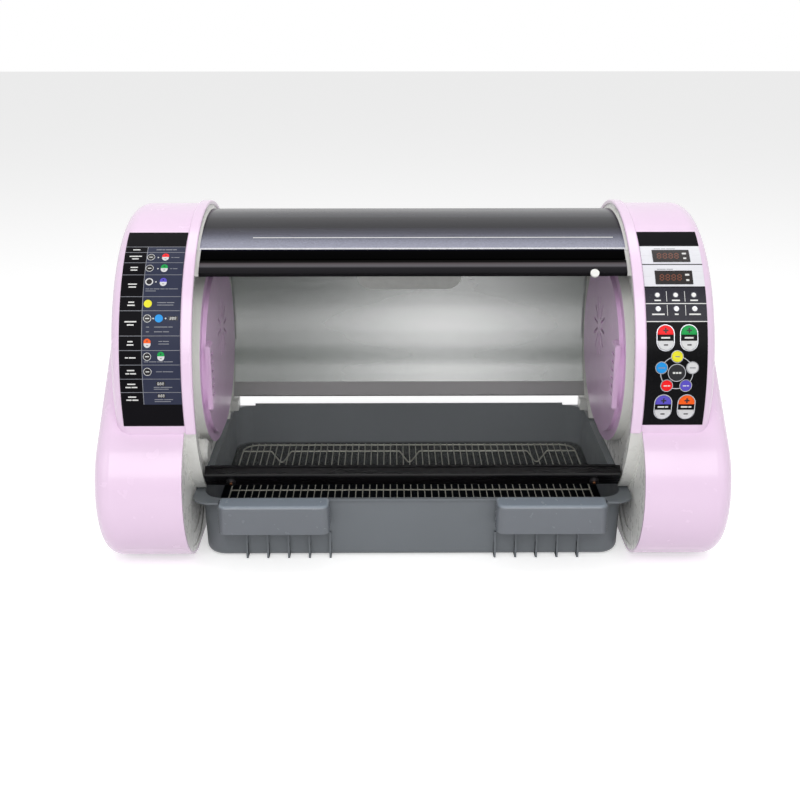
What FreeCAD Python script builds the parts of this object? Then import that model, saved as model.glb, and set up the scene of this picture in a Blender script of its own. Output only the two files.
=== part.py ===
import FreeCAD, Part
import math
import os
import Sketcher
from FreeCAD import Placement, Rotation, Vector

# Veterinary incubator: a see-through drum between two moulded end pods, with a curved front door
# that slides up round the drum's axis, a pull-out tray with a wire rack, and a keypad.
# Millimetres, +Z up, X across the front, -Y towards the user. The origin is under the middle of
# the whole object, at the height of the surface it stands on.
# Angles are measured about the drum's axis from straight ahead (-Y), positive upwards.

SIZES = {
    # Drum axis
    "axis_y": 12.45,
    "axis_rise": 32.0,
    # End pods: the drum, the toe at its foot, and the cheek outside both
    "arch_radius": 225.0,
    "drum_side": 413.0,
    "cheek_side": 440.0,
    "pod_face": 316.9,
    "shoulder": 24.0,
    "bevel_share": 0.586,
    "wall": 4.0,
    "rear_corner": 40.0,
    "toe_forward": 155.6,
    "toe_radius": 111.3,
    "hub_radius": 102.0,
    "heel_back": 125.0,
    "heel_radius": 80.0,
    "foot_height": 3.0,
    "foot_radius": 10.0,
    "foot_inner_x": 340.0,
    "foot_outer_x": 412.0,
    # Raised rim of each pod round the drum
    "rim_edge": 299.0,
    "rim_width": 15.0,
    "rim_end": -12.3,
    "rim_round": 2.5,
    # White inner frame of each pod
    "frame_face": 317.0,
    "frame_thick": 3.0,
    "frame_gap": 0.1,
    "fin_edge": 301.0,
    "fin_end": -45.5,
    "end_wall_face": 312.0,
    "end_wall_low": 98.0,
    "guide_wall": 5.0,
    "guide_edge": 303.0,
    "dish_margin": 11.0,
    "dish_step": 20.0,
    "dish_depth": 2.0,
    "bracket_edge": 292.0,
    "bracket_front": 150.0,
    "bracket_depth": 28.0,
    "bracket_low": 102.0,
    "bracket_height": 17.0,
    "ledge_edge": 309.0,
    "ledge_thick": 5.0,
    "ledge_front": -118.0,
    "ledge_rear": 190.0,
    # Pink plate at each end of the drum
    "plate_face": 292.0,
    "plate_half_depth": 168.0,
    "plate_half_height": 140.0,
    "plate_rise": 6.0,
    "plate_step": 6.0,
    "plate_margin": 14.0,
    "vent_y": 20.0,
    "vent_rise": 34.0,
    "vent_radius": 50.0,
    "vent_slots": 12.0,
    "vent_slot_width": 5.0,
    "vent_hub": 14.0,
    "sensor_box_y": -154.0,
    "sensor_box_z": 216.0,
    "sensor_box_depth": 32.0,
    "sensor_box_height": 96.0,
    "sensor_box_proud": 7.0,
    "sensor_slots": 6.0,
    "port_inset": 65.0,
    "port_z": 148.0,
    "port_radius": 18.5,
    "port_proud": 15.0,
    # Fixed skins of the drum
    "cover_start": 57.8,
    "cover_end": 122.0,
    "rear_window_end": 212.0,
    "rear_rail_end": 218.5,
    # Black rail above the door, in two steps
    "rail_end_gap": 6.5,
    "rail_low": 46.1,
    "rail_mid": 51.8,
    "rail_upper_start": 52.6,
    "rail_high": 57.6,
    "plug_x": 249.0,
    "plug_angle": 45.7,
    "plug_radius": 6.0,
    "plug_proud": 3.0,
    # Front door
    "glass_thick": 3.0,
    "glass_bite": 5.7,
    "door_low": -39.8,
    "door_high": 52.0,
    "runner_edge": 303.3,
    "runner_side": 316.6,
    "runner_gap": 0.4,
    "glass_gap": 0.05,
    "bar_end_gap": 5.3,
    "bar_low": -41.4,
    "bar_high": -33.9,
    "flange_end_gap": 12.3,
    "flange_high": -33.4,
    "bar_round": 2.5,
    "knob_x": 261.0,
    "knob_radius": 6.5,
    "knob_proud": 4.5,
    "knob_tip": 2.2,
    "knob_tip_proud": 1.5,
    # Tray
    "tray_half": 305.0,
    "tray_front": -190.0,
    "tray_rear": 196.0,
    "tray_floor": 2.0,
    "tray_rim": 92.0,
    "tray_wall": 2.8,
    "tray_corner": 32.0,
    "tray_draft": 1.5,
    "tray_base_round": 10.0,
    "rim_thick": 3.0,
    "wing_half": 316.3,
    "wing_front": -204.0,
    "wing_rear": 196.0,
    "wing_corner": 24.0,
    "lip_front": -193.0,
    "lip_half": 278.0,
    "rear_lip_half": 268.0,
    "rear_lip_rise": 4.0,
    "rib_first": 120.0,
    "rib_pitch": 30.3,
    "rib_count": 5.0,
    "rib_width": 3.0,
    "rib_proud": 2.6,
    "rib_drop": 1.5,
    "handle_inner": 119.0,
    "handle_width": 158.5,
    "handle_depth": 31.0,
    "handle_top": 97.0,
    "handle_height": 43.0,
    "handle_wall": 3.0,
    "handle_corner": 12.0,
    "handle_round": 6.0,
    # Wire rack
    "rack_half": 286.0,
    "rack_front": -174.0,
    "rack_rear": 168.0,
    "rack_corner": 26.0,
    "rack_wire": 2.4,
    "rack_frame": 4.0,
    "rack_count": 51.0,
    "rack_height": 31.0,
    "rack_cross": 140.0,
    "rack_middle": -21.0,
    "rack_margin": 13.5,
    "rack_foot_inset": 66.0,
    "rack_foot_half": 17.0,
    "rack_sink": 0.4,
    # Keypad and chart on the pods
    "panel_x": 315.0,
    "panel_width": 82.6,
    "panel_low": -9.5,
    "panel_high": 65.2,
    "panel_gap": 0.15,
    "screen_width": 51.4,
    "screen_height": 21.2,
    "screen_corner": 1.0,
    "screen_first": 207.8,
    "screen_second": 172.1,
    "lamp_first": 145.7,
    "lamp_second": 126.0,
    "lamp_pitch": 24.8,
    "lamp_radius": 2.6,
    "key_gap": 0.2,
    "key_travel": 0.8,
    "key_bevel": 0.7,
    "key_column_gap": 31.8,
    "oval_width": 21.6,
    "oval_height": 33.6,
    "oval_band": 8.4,
    "oval_high": 86.0,
    "oval_low": -9.8,
    "ring_centre": 38.6,
    "ring_radius": 22.0,
    "round_key": 7.4,
    "centre_key": 10.9,
    # Lamp on the rear window
    "lamp_angle": 157.0,
    "lamp_width": 174.0,
    "lamp_height": 72.0,
    "lamp_corner": 26.0,
    "lamp_wall": 2.0,
    "board_thick": 1.6,
    # Rear fittings and the works inside the pods
    "spigot_x": 360.0,
    "spigot_z": 200.0,
    "spigot_radius": 4.0,
    "spigot_bore": 2.5,
    "spigot_reach": 17.0,
    "cap_x": 360.0,
    "cap_low_z": 110.0,
    "cap_high_z": 165.0,
    "cap_radius": 19.0,
    "cap_thick": 7.0,
    "neck_radius": 14.0,
    "neck_proud": 5.0,
    "inlet_x": 360.0,
    "inlet_z": 110.0,
    "switch_z": 165.0,
    "switch_angle": 10.0,
    "switch_tilt": 8.0,
    "louvre_count": 6.0,
    "louvre_pitch": 9.0,
    "louvre_z": 205.0,
    "fan_half": 60.0,
    "fan_depth": 32.0,
    "fan_hub": 18.0,
    "fan_blades": 7.0,
    "fan_gap": 2.0,
}

# Radii about the drum's axis, each a step out or in from the arch
RINGS = {
    "rim_inner": -1.8,
    "rim_outer": 4.5,
    "fin_inner": -11.2,
    "fin_outer": -2.0,
    "end_wall_radius": -20.0,
    "skin_inner": -10.8,
    "skin_outer": -8.2,
    "rear_rail_inner": -11.6,
    "rear_rail_outer": -6.0,
    "rail_low_outer": -2.5,
    "rail_high_outer": -4.5,
    "glass_inner": -17.5,
    "bar_outer": 2.0,
    "bar_seat": -11.4,
    "panel_inner": -0.7,
    "panel_outer": 0.5,
    "pocket_floor": -2.6,
    "screen_outer": 1.0,
    "key_top": 2.0,
    "lamp_face": -24.0,
}

# Sizes that follow from others
FOLLOWERS = {
    "axis_z": "arch_radius + axis_rise",
    "port_y": "port_inset - end_wall_radius",
    "bar_half": "runner_edge - bar_end_gap",
    "flange_half": "runner_edge - flange_end_gap",
    "rail_half": "fin_edge - rail_end_gap",
    "glass_half": "runner_edge + glass_bite",
    "rack_pitch": "2 * (rack_half - rack_margin) / (rack_count - 1)",
    "rack_foot_x": "rack_half - rack_foot_inset",
}

document = FreeCAD.newDocument("Incubator")
sheet = document.addObject("Spreadsheet::Sheet", "sizes")
cells = {alias: str(value) for alias, value in SIZES.items()}
for alias, step in RINGS.items():
    cells[f"{alias}_step"] = str(step)
    cells[alias] = f"=arch_radius + {alias}_step"
for alias, rule in FOLLOWERS.items():
    cells[alias] = f"={rule}"
for row, (alias, content) in enumerate(cells.items(), start=1):
    sheet.set(f"A{row}", alias)
    sheet.setAlias(f"B{row}", alias)
for row, content in enumerate(cells.values(), start=1):
    sheet.set(f"B{row}", content)
document.recompute()

nodes = []


def size(alias):
    """A driving dimension as a number."""
    return float(sheet.get(alias))


def words(expression):
    """An expression on the sheet's sizes, with each alias given its sheet."""
    out = ""
    word = ""
    for sign in expression + " ":
        if sign.isalnum() or sign == "_":
            word += sign
            continue
        out += "sizes." + word if word in cells else word
        out += sign
        word = ""
    return out.strip()


def bind(thing, **properties):
    """Ties properties to expressions on the sheet."""
    for name, expression in properties.items():
        thing.setExpression(name, words(str(expression)))
    return thing


def put(thing, at=("0", "0", "0"), turn=""):
    """Ties a placement to the sheet: a place and, if given, a turn."""
    place = f"vector({at[0]}; {at[1]}; {at[2]})"
    spin = turn or "rotation(vector(0; 0; 1); 0)"
    thing.setExpression("Placement", words(f"placement({place}; {spin})"))
    return thing


def keep(thing, label):
    """Marks an object as one of the incubator's pieces."""
    thing.Label = label
    nodes.append(thing)
    return thing


# Simple solids


def block(name, low, high):
    """A box between two corners."""
    solid = document.addObject("Part::Box", name)
    bind(solid, Length=f"({high[0]}) - ({low[0]})", Width=f"({high[1]}) - ({low[1]})",
         Height=f"({high[2]}) - ({low[2]})")
    return put(solid, low)


def rod_x(name, radius, low, high, y, z):
    """A cylinder along X."""
    solid = document.addObject("Part::Cylinder", name)
    bind(solid, Radius=radius, Height=f"({high}) - ({low})")
    return put(solid, (low, y, z), "rotation(vector(0; 1; 0); 90)")


def rod_y(name, radius, low, high, x, z):
    """A cylinder along Y."""
    solid = document.addObject("Part::Cylinder", name)
    bind(solid, Radius=radius, Height=f"({high}) - ({low})")
    return put(solid, (x, low, z), "rotation(vector(1; 0; 0); -90)")


def rod_z(name, radius, low, high, x, y):
    """An upright cylinder."""
    solid = document.addObject("Part::Cylinder", name)
    bind(solid, Radius=radius, Height=f"({high}) - ({low})")
    return put(solid, (x, y, low))


def fuse(name, *parts):
    """One solid from several."""
    union = document.addObject("Part::MultiFuse", name)
    union.Shapes = list(parts)
    union.Refine = True
    return union


def cut(name, base, tool):
    """A solid with another taken out of it."""
    result = document.addObject("Part::Cut", name)
    result.Base = base
    result.Tool = tool
    return result


def common(name, first, second):
    """The space that two solids share."""
    result = document.addObject("Part::Common", name)
    result.Base = first
    result.Tool = second
    return result


def group(name, *parts):
    """Separate solids kept together."""
    result = document.addObject("Part::Compound", name)
    result.Links = list(parts)
    return result


def mirrored(name, source):
    """The same solid on the other side of the object's middle plane."""
    result = document.addObject("Part::Mirroring", name)
    result.Source = source
    result.Base = Vector(0, 0, 0)
    result.Normal = Vector(1, 0, 0)
    return result


def rounded(name, base, radius, chosen):
    """Rounds the edges of a solid that the test picks."""
    document.recompute()
    picked = [number for number, edge in enumerate(base.Shape.Edges, start=1) if chosen(edge)]
    result = document.addObject("Part::Fillet", name)
    result.Base = base
    result.Edges = [(number, radius, radius) for number in picked]
    return result


def bevelled(name, base, depth, chosen):
    """Bevels the edges of a solid that the test picks."""
    document.recompute()
    picked = [number for number, edge in enumerate(base.Shape.Edges, start=1) if chosen(edge)]
    result = document.addObject("Part::Chamfer", name)
    result.Base = base
    result.Edges = [(number, depth, depth) for number in picked]
    return result


def sector(name, radius, start, end, low, high):
    """A wedge of a cylinder about the drum's axis, between two angles and two X planes."""
    solid = document.addObject("Part::Cylinder", name)
    bind(solid, Radius=radius, Angle=f"({end}) - ({start})", Height=f"({high}) - ({low})")
    turn = f"rotation(vector(0; 1; 0); -90) * rotation(vector(0; 0; 1); ({start}) - 90)"
    return put(solid, (high, "axis_y", "axis_z"), turn)


def band(name, inner, outer, start, end, low, high):
    """A curved strip about the drum's axis."""
    bulk = sector(f"{name}_bulk", outer, start, end, low, high)
    core = rod_x(f"{name}_core", inner, f"({low}) - 1", f"({high}) + 1", "axis_y", "axis_z")
    return cut(name, bulk, core)


# Sketches


class Profile:
    """A closed sketch in a body, made of arcs and lines and tied to the sheet."""

    def __init__(self, body, name, role, offset="0"):
        self.sketch = body.newObject("Sketcher::SketchObject", name)
        plane = [item for item in body.Origin.OriginFeatures if item.Role == role][0]
        self.sketch.AttachmentSupport = [(plane, "")]
        self.sketch.MapMode = "FlatFace"
        self.sketch.setExpression("AttachmentOffset.Base.z", words(offset))

    def line(self, start, end):
        segment = Part.LineSegment(Vector(*start, 0), Vector(*end, 0))
        return self.sketch.addGeometry(segment, False)

    def arc(self, centre, radius, start, end):
        circle = Part.Circle(Vector(*centre, 0), Vector(0, 0, 1), radius)
        turn = Part.ArcOfCircle(circle, math.radians(start), math.radians(end))
        return self.sketch.addGeometry(turn, False)

    def rule(self, *values):
        return self.sketch.addConstraint(Sketcher.Constraint(*values))

    def set(self, expression, *values):
        """Adds a dimension and ties it to the sheet."""
        number = self.rule(*values)
        self.sketch.setExpression(f"Constraints[{number}]", words(expression))

    def radius(self, arc, value, expression):
        self.set(expression, "Radius", arc, value)

    def centre(self, arc, place, across, up):
        self.set(across, "DistanceX", -1, 1, arc, 3, place[0])
        self.set(up, "DistanceY", -1, 1, arc, 3, place[1])


def rounded_rectangle(body, name, half_width, half_height, corner):
    """A rounded rectangle centred on the body's origin."""
    profile = Profile(body, name, "XY_Plane")
    bend = 5.0
    reach = (30.0, 20.0)
    signs = ((1, 1), (-1, 1), (-1, -1), (1, -1))
    centres = [(reach[0] * sign[0], reach[1] * sign[1]) for sign in signs]
    turns = [profile.arc(centre, bend, 90 * count, 90 * count + 90)
             for count, centre in enumerate(centres)]
    sides = []
    for count in range(4):
        start = on_circle(centres[count], bend, 90 * count + 90)
        end = on_circle(centres[(count + 1) % 4], bend, 90 * count + 90)
        sides.append(profile.line(start, end))
        profile.rule("Tangent", turns[count], 2, sides[count], 1)
    for count in range(4):
        profile.rule("Tangent", sides[count], 2, turns[(count + 1) % 4], 1)
        profile.rule(("Horizontal", "Vertical")[count % 2], sides[count])
    for turn in turns[1:]:
        profile.rule("Equal", turns[0], turn)
    profile.radius(turns[0], bend, corner)
    across = f"{half_width} - ({corner})"
    up = f"{half_height} - ({corner})"
    profile.set(across, "DistanceX", -1, 1, turns[0], 3, reach[0])
    profile.set(up, "DistanceY", -1, 1, turns[0], 3, reach[1])
    profile.set(across, "DistanceX", turns[2], 3, -1, 1, reach[0])
    profile.set(up, "DistanceY", turns[2], 3, -1, 1, reach[1])
    return profile.sketch


def far_edges(shape, plane):
    """The names of a shape's edges that lie in an X plane."""
    names = []
    for number, edge in enumerate(shape.Edges, start=1):
        box = edge.BoundBox
        if abs(box.XMin - plane) < 0.01 and abs(box.XMax - plane) < 0.01:
            names.append(f"Edge{number}")
    return names


def tangent_angle(first, first_radius, second, second_radius):
    """The outward direction, in degrees, of the outer tangent on the right of two circles."""
    across = second[0] - first[0]
    up = second[1] - first[1]
    reach = math.hypot(across, up)
    lean = math.degrees(math.acos((first_radius - second_radius) / reach))
    return math.degrees(math.atan2(up, across)) - lean


def on_circle(centre, radius, angle):
    turn = math.radians(angle)
    return (centre[0] + radius * math.cos(turn), centre[1] + radius * math.sin(turn))


def drum_profile(body, name, inset):
    """The drum's outline from the side: a circle that runs straight down at the rear."""
    profile = Profile(body, name, "YZ_Plane", "pod_face")
    axis = (size("axis_y"), size("axis_z"))
    radius = size("arch_radius") - inset
    corner = size("rear_corner") - inset
    low = axis[1] - radius
    rear = axis[0] + radius
    arch = profile.arc(axis, radius, 0, 270)
    floor = profile.line((axis[0], low), (rear - corner, low))
    turn = profile.arc((rear - corner, low + corner), corner, 270, 360)
    back = profile.line((rear, low + corner), (rear, axis[1]))
    profile.rule("Tangent", arch, 2, floor, 1)
    profile.rule("Tangent", floor, 2, turn, 1)
    profile.rule("Tangent", turn, 2, back, 1)
    profile.rule("Tangent", back, 2, arch, 1)
    profile.rule("Horizontal", floor)
    profile.rule("Vertical", back)
    profile.centre(arch, axis, "axis_y", "axis_z")
    profile.radius(arch, radius, f"arch_radius - {inset}")
    profile.radius(turn, corner, f"rear_corner - {inset}")
    return profile.sketch


def cheek_profile(body, name, inset):
    """The cheek's outline: toe, hub and heel circles joined by their tangents."""
    profile = Profile(body, name, "YZ_Plane", "pod_face")
    places = {
        "toe": (size("axis_y") - size("toe_forward"), size("foot_height") + size("toe_radius")),
        "hub": (size("axis_y"), size("axis_z")),
        "heel": (size("axis_y") + size("heel_back"), size("foot_height") + size("heel_radius")),
    }
    radii = {piece: size(f"{piece}_radius") - inset for piece in places}
    rear = tangent_angle(places["heel"], radii["heel"], places["hub"], radii["hub"])
    front = tangent_angle(places["hub"], radii["hub"], places["toe"], radii["toe"]) % 360
    spans = {"heel": (270, 360 + rear), "hub": (rear, front), "toe": (front, 270)}
    ends = {piece: [on_circle(places[piece], radii[piece], angle) for angle in spans[piece]]
            for piece in places}
    order = ("heel", "hub", "toe")
    arcs = {piece: profile.arc(places[piece], radii[piece], *spans[piece]) for piece in order}
    for first, second in (("heel", "hub"), ("hub", "toe"), ("toe", "heel")):
        side = profile.line(ends[first][1], ends[second][0])
        profile.rule("Tangent", arcs[first], 2, side, 1)
        profile.rule("Tangent", side, 2, arcs[second], 1)
    across = {"toe": "axis_y - toe_forward", "hub": "axis_y", "heel": "axis_y + heel_back"}
    up = {"toe": "foot_height + toe_radius", "hub": "axis_z", "heel": "foot_height + heel_radius"}
    for piece in order:
        profile.centre(arcs[piece], places[piece], across[piece], up[piece])
        profile.radius(arcs[piece], radii[piece], f"{piece}_radius - {inset}")
    return profile.sketch


def pad(body, name, sketch, length):
    """Raises a sketch into a solid."""
    feature = body.newObject("PartDesign::Pad", name)
    feature.Profile = sketch
    bind(feature, Length=length)
    document.recompute()
    return feature


def soften(body, name, feature, edges, radius):
    """Rounds edges of a body's last feature."""
    fillet = body.newObject("PartDesign::Fillet", name)
    fillet.Base = (feature, edges)
    bind(fillet, Radius=radius)
    document.recompute()
    return fillet


def slope(body, name, feature, edges, depth):
    """Bevels edges of a body's last feature."""
    bevel = body.newObject("PartDesign::Chamfer", name)
    bevel.Base = (feature, edges)
    bind(bevel, Size=depth)
    document.recompute()
    return bevel


def pod_form(name, inset):
    """One pod as a solid: drum and cheek, rounded outside and bevelled inside the wall."""
    body = document.addObject("PartDesign::Body", name)
    for part, outline in (("drum", drum_profile), ("cheek", cheek_profile)):
        side = f"{part}_side"
        sketch = outline(body, f"{name}_{part}_outline", inset)
        raised = pad(body, f"{name}_{part}", sketch, f"{side} - pod_face - {inset}")
        edges = far_edges(raised.Shape, size(side) - inset)
        if inset:
            slope(body, f"{name}_{part}_bevel", raised, edges, f"(shoulder - {inset}) * bevel_share")
        else:
            soften(body, f"{name}_{part}_shoulder", raised, edges, "shoulder")
    return body


def pod_plate(name, inset, thick):
    """A flat plate with the pod's outline, drawn in by an inset."""
    body = document.addObject("PartDesign::Body", name)
    pad(body, f"{name}_drum", drum_profile(body, f"{name}_drum_outline", inset), thick)
    pad(body, f"{name}_cheek", cheek_profile(body, f"{name}_cheek_outline", inset), thick)
    return body


def make_pods():
    """The two pink outer shells."""
    outside = pod_form("pod_outside", 0)
    inside = pod_form("pod_inside", size("wall"))
    shell = cut("pod_shell", outside, inside)
    bead = band("rim_bead", "rim_inner", "rim_outer", "rim_end", "180 - rim_end",
                "rim_edge", "rim_edge + rim_width")
    edge = size("rim_edge")
    high = edge + size("rim_width")

    def outer_corner(item):
        box = item.BoundBox
        level = box.XMax - box.XMin < 0.01 and (abs(box.XMin - edge) < 0.01
                                                or abs(box.XMin - high) < 0.01)
        return level and item.Length > math.pi * size("rim_outer") * 0.99

    bead = rounded("rim_rounded", bead, size("rim_round"), outer_corner)
    neck = band("rim_neck", "rim_inner", "arch_radius", "rim_end", "180 - rim_end",
                "rim_edge + rim_width / 2", "pod_face")
    blank = fuse("pod_blank", shell, bead, neck)
    seat = band("panel_seat", "panel_inner - panel_gap", "rim_outer + 1",
                "panel_low - 0.04", "panel_high + 0.04", "panel_x - panel_gap",
                "panel_x + panel_width + panel_gap")
    return cut("pod_seated", blank, seat)


pod = make_pods()


def radial_place(thing, x, angle, radius):
    """Stands a piece on the drum: local Z points away from the axis, local Y up round it."""
    at = (x, f"axis_y - ({radius}) * cos({angle})", f"axis_z + ({radius}) * sin({angle})")
    return put(thing, at, f"rotation(vector(1; 0; 0); 90 - ({angle}))")


def panel_place(thing, x, arc, radius):
    """Stands a piece on the keypad, at a height measured round it from straight ahead."""
    return radial_place(thing, x, f"(({arc}) / panel_outer * 180 / pi)", radius)


def round_blank(name, radius, x, arc, low, high):
    """A cylinder that stands square on the keypad."""
    solid = document.addObject("Part::Cylinder", name)
    bind(solid, Radius=radius, Height=f"({high}) - ({low})")
    return panel_place(solid, x, arc, low)


def panel_box(name, x, arc, width, height, low, high):
    """A flat rectangular piece centred on a point of the keypad."""
    body = document.addObject("PartDesign::Body", name)
    outline = rounded_rectangle(body, f"{name}_outline", f"({width}) / 2", f"({height}) / 2",
                                "screen_corner")
    pad(body, f"{name}_raise", outline, f"({high}) - ({low})")
    return panel_place(body, x, arc, low)


def half_oval_blank(name, x, arc, side, low, high, grow="0"):
    """One half of an oval key: a half round with a short straight part, above or below."""
    body = document.addObject("PartDesign::Body", name)
    profile = Profile(body, f"{name}_outline", "XY_Plane")
    margin = size("key_gap") if grow != "0" else 0.0
    radius = size("oval_width") / 2 + margin
    straight = (size("oval_height") - size("oval_band") - size("oval_width")) / 2 + margin
    start = size("oval_band") / 2 - margin
    centre = start + straight
    if side > 0:
        dome = profile.arc((0, centre), radius, 0, 180)
        left = profile.line((-radius, centre), (-radius, start))
        base = profile.line((-radius, start), (radius, start))
        right = profile.line((radius, start), (radius, centre))
    else:
        dome = profile.arc((0, -centre), radius, 180, 360)
        left = profile.line((radius, -centre), (radius, -start))
        base = profile.line((radius, -start), (-radius, -start))
        right = profile.line((-radius, -start), (-radius, -centre))
    profile.rule("Tangent", dome, 2, left, 1)
    profile.rule("Coincident", left, 2, base, 1)
    profile.rule("Coincident", base, 2, right, 1)
    profile.rule("Tangent", right, 2, dome, 1)
    profile.rule("Horizontal", base)
    profile.radius(dome, radius, f"oval_width / 2 + {grow}")
    profile.rule("PointOnObject", dome, 3, -2)
    straight_size = f"(oval_height - oval_band - oval_width) / 2 + {grow}"
    start_size = f"oval_band / 2 - {grow}"
    profile.rule("Vertical", left)
    if side > 0:
        profile.set(straight_size, "DistanceY", left, 2, left, 1, straight)
        profile.set(start_size, "DistanceY", -1, 1, left, 2, start)
    else:
        profile.set(straight_size, "DistanceY", left, 1, left, 2, straight)
        profile.set(start_size, "DistanceY", left, 2, -1, 1, start)
    pad(body, f"{name}_raise", profile.sketch, f"({high}) - ({low})")
    return panel_place(body, x, arc, low)


OVALS = {
    "temperature": ("panel_x + panel_width / 2 - key_column_gap / 2", "oval_high"),
    "humidity": ("panel_x + panel_width / 2 + key_column_gap / 2", "oval_high"),
    "mist": ("panel_x + panel_width / 2 - key_column_gap / 2", "oval_low"),
    "light": ("panel_x + panel_width / 2 + key_column_gap / 2", "oval_low"),
}
RING = {
    "yellow_key": 90,
    "white_key": 18,
    "violet_key": -54,
    "red_key": -126,
    "blue_key": 162,
}


def rim_edges(thing):
    """The numbers of the edges round a key's outer face."""
    shape = thing.Shape
    top = max(shape.Faces, key=lambda face: face.CenterOfMass.dot(outward(thing)))
    return [number for number, edge in enumerate(shape.Edges, start=1)
            if any(edge.isSame(other) for other in top.Edges)]


def outward(thing):
    """The direction in which a keypad piece faces."""
    return thing.Placement.Rotation.multVec(Vector(0, 0, 1))


def bevelled_key(name, blank):
    """A key with a bevelled rim."""
    document.recompute()
    result = document.addObject("Part::Chamfer", name)
    result.Base = blank
    depth = size("key_bevel")
    result.Edges = [(number, depth, depth) for number in rim_edges(blank)]
    return keep(result, name)


def make_keypad():
    """Overlay, screens, indicator lamps and the fourteen keys of the right pod."""
    low = "pocket_floor + key_travel + 0.2"
    holes = []
    for label, (x, arc) in OVALS.items():
        for side, ending in ((1, "up"), (-1, "down")):
            key = f"{label}_{ending}_key"
            bevelled_key(key, half_oval_blank(f"{key}_blank", x, arc, side, low, "key_top"))
            holes.append(half_oval_blank(f"{key}_hole", x, arc, side, "pocket_floor",
                                         "key_top + 5", "key_gap"))
    middle = "panel_x + panel_width / 2"
    rounds = {"centre_key": (middle, "ring_centre", "centre_key")}
    for label, turn in RING.items():
        x = f"{middle} + ring_radius * cos({turn})"
        arc = f"ring_centre + ring_radius * sin({turn})"
        rounds[label] = (x, arc, "round_key")
    for label, (x, arc, radius) in rounds.items():
        bevelled_key(label, round_blank(f"{label}_blank", radius, x, arc, low, "key_top"))
        holes.append(round_blank(f"{label}_hole", f"{radius} + key_gap", x, arc,
                                 "pocket_floor", "key_top + 5"))
    for label, arc in (("temperature_display", "screen_first"),
                       ("humidity_display", "screen_second")):
        keep(panel_box(f"{label}_box", middle, arc, "screen_width", "screen_height",
                       "pocket_floor", "screen_outer"), label)
        holes.append(panel_box(f"{label}_hole", middle, arc, "screen_width + 2 * panel_gap",
                               "screen_height + 2 * panel_gap", "pocket_floor",
                               "key_top + 5"))
    lamps = []
    for line, arc in enumerate(("lamp_first", "lamp_second")):
        for column in (-1, 0, 1):
            x = f"{middle} + {column} * lamp_pitch"
            lamp = round_blank(f"indicator_{line}_{column + 1}", "lamp_radius", x, arc,
                               "pocket_floor", "screen_outer + 0.3")
            lamps.append(lamp)
            holes.append(round_blank(f"indicator_hole_{line}_{column + 1}",
                                     "lamp_radius + panel_gap", x, arc, "pocket_floor",
                                     "key_top + 5"))
    keep(group("indicators", *lamps), "indicator_lights")
    openings = group("keypad_openings", *holes)
    sheet_blank = panel_skin("keypad_blank")
    keep(cut("keypad", sheet_blank, openings), "keypad_panel")
    return openings


def panel_skin(name):
    """The curved plastic sheet that fills a pod's panel seat."""
    return band(name, "panel_inner", "panel_outer", "panel_low", "panel_high",
                "panel_x", "panel_x + panel_width")


keypad_openings = make_keypad()
keep(mirrored("chart", panel_skin("chart_blank")), "chart_panel")


def make_frame():
    """The white inner frame of a pod: side plate, ring fin, end wall, door guide and ledge."""
    plate = pod_plate("frame_plate", size("wall") + size("frame_gap"),
                      "frame_thick + frame_face - pod_face")
    fin = band("ring_fin", "fin_inner", "fin_outer", "fin_end", "180 - fin_end",
               "fin_edge", "pod_face")
    root = band("fin_root", "fin_inner", "arch_radius - wall - frame_gap", "fin_end",
                "180 - fin_end", "fin_edge + 1", "frame_face + 1")
    disc = rod_x("end_wall_disc", "end_wall_radius", "end_wall_face", "frame_face",
                 "axis_y", "axis_z")
    guide_bulk = rod_x("guide_bulk", "end_wall_radius", "guide_edge", "end_wall_face",
                       "axis_y", "axis_z")
    guide_core = rod_x("guide_core", "end_wall_radius - guide_wall", "guide_edge - 1",
                       "end_wall_face", "axis_y", "axis_z")
    guide = cut("guide_ring", guide_bulk, guide_core)
    wall = fuse("end_wall_whole", disc, guide)
    above = block("above_tray", ("guide_edge - 5", "axis_y - end_wall_radius - 5", "end_wall_low"),
                  ("frame_face", "axis_y + end_wall_radius + 5",
                   "axis_z + end_wall_radius + 5"))
    wall = common("end_wall", wall, above)
    ledge = block("tray_ledge", ("ledge_edge", "axis_y + ledge_front",
                                 "tray_rim - 0.3 - ledge_thick"),
                  ("frame_face", "axis_y + ledge_rear", "tray_rim - 0.3"))
    bracket = block("rail_bracket", ("bracket_edge", "axis_y + bracket_front", "bracket_low"),
                    ("frame_face + 1", "axis_y + bracket_front + bracket_depth",
                     "bracket_low + bracket_height"))
    solid = fuse("frame_solid", plate, fin, root, wall, ledge, bracket)
    toe_y = "axis_y - toe_forward"
    toe_z = "foot_height + toe_radius"
    dish = rod_x("dish", "toe_radius - dish_margin", "frame_face - 2",
                 "frame_face + dish_depth / 2", toe_y, toe_z)
    deeper = rod_x("dish_deeper", "toe_radius - dish_margin - dish_step", "frame_face - 2",
                   "frame_face + dish_depth", toe_y, toe_z)
    drum = rod_x("drum_core", "fin_outer + 3", "frame_face - 3", "frame_face + frame_thick",
                 "axis_y", "axis_z")
    rings = cut("dish_rings", fuse("dish_both", dish, deeper), drum)
    duct = rod_x("air_duct", "vent_radius", "end_wall_face - 1", "frame_face + frame_thick + 1",
                 "axis_y + vent_y", "axis_z + vent_rise")
    return cut("frame_done", cut("frame_ringed", solid, rings), duct)


frame = make_frame()
keep(mirrored("frame_left", frame), "left_inner_frame")
keep(frame, "right_inner_frame")


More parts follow.
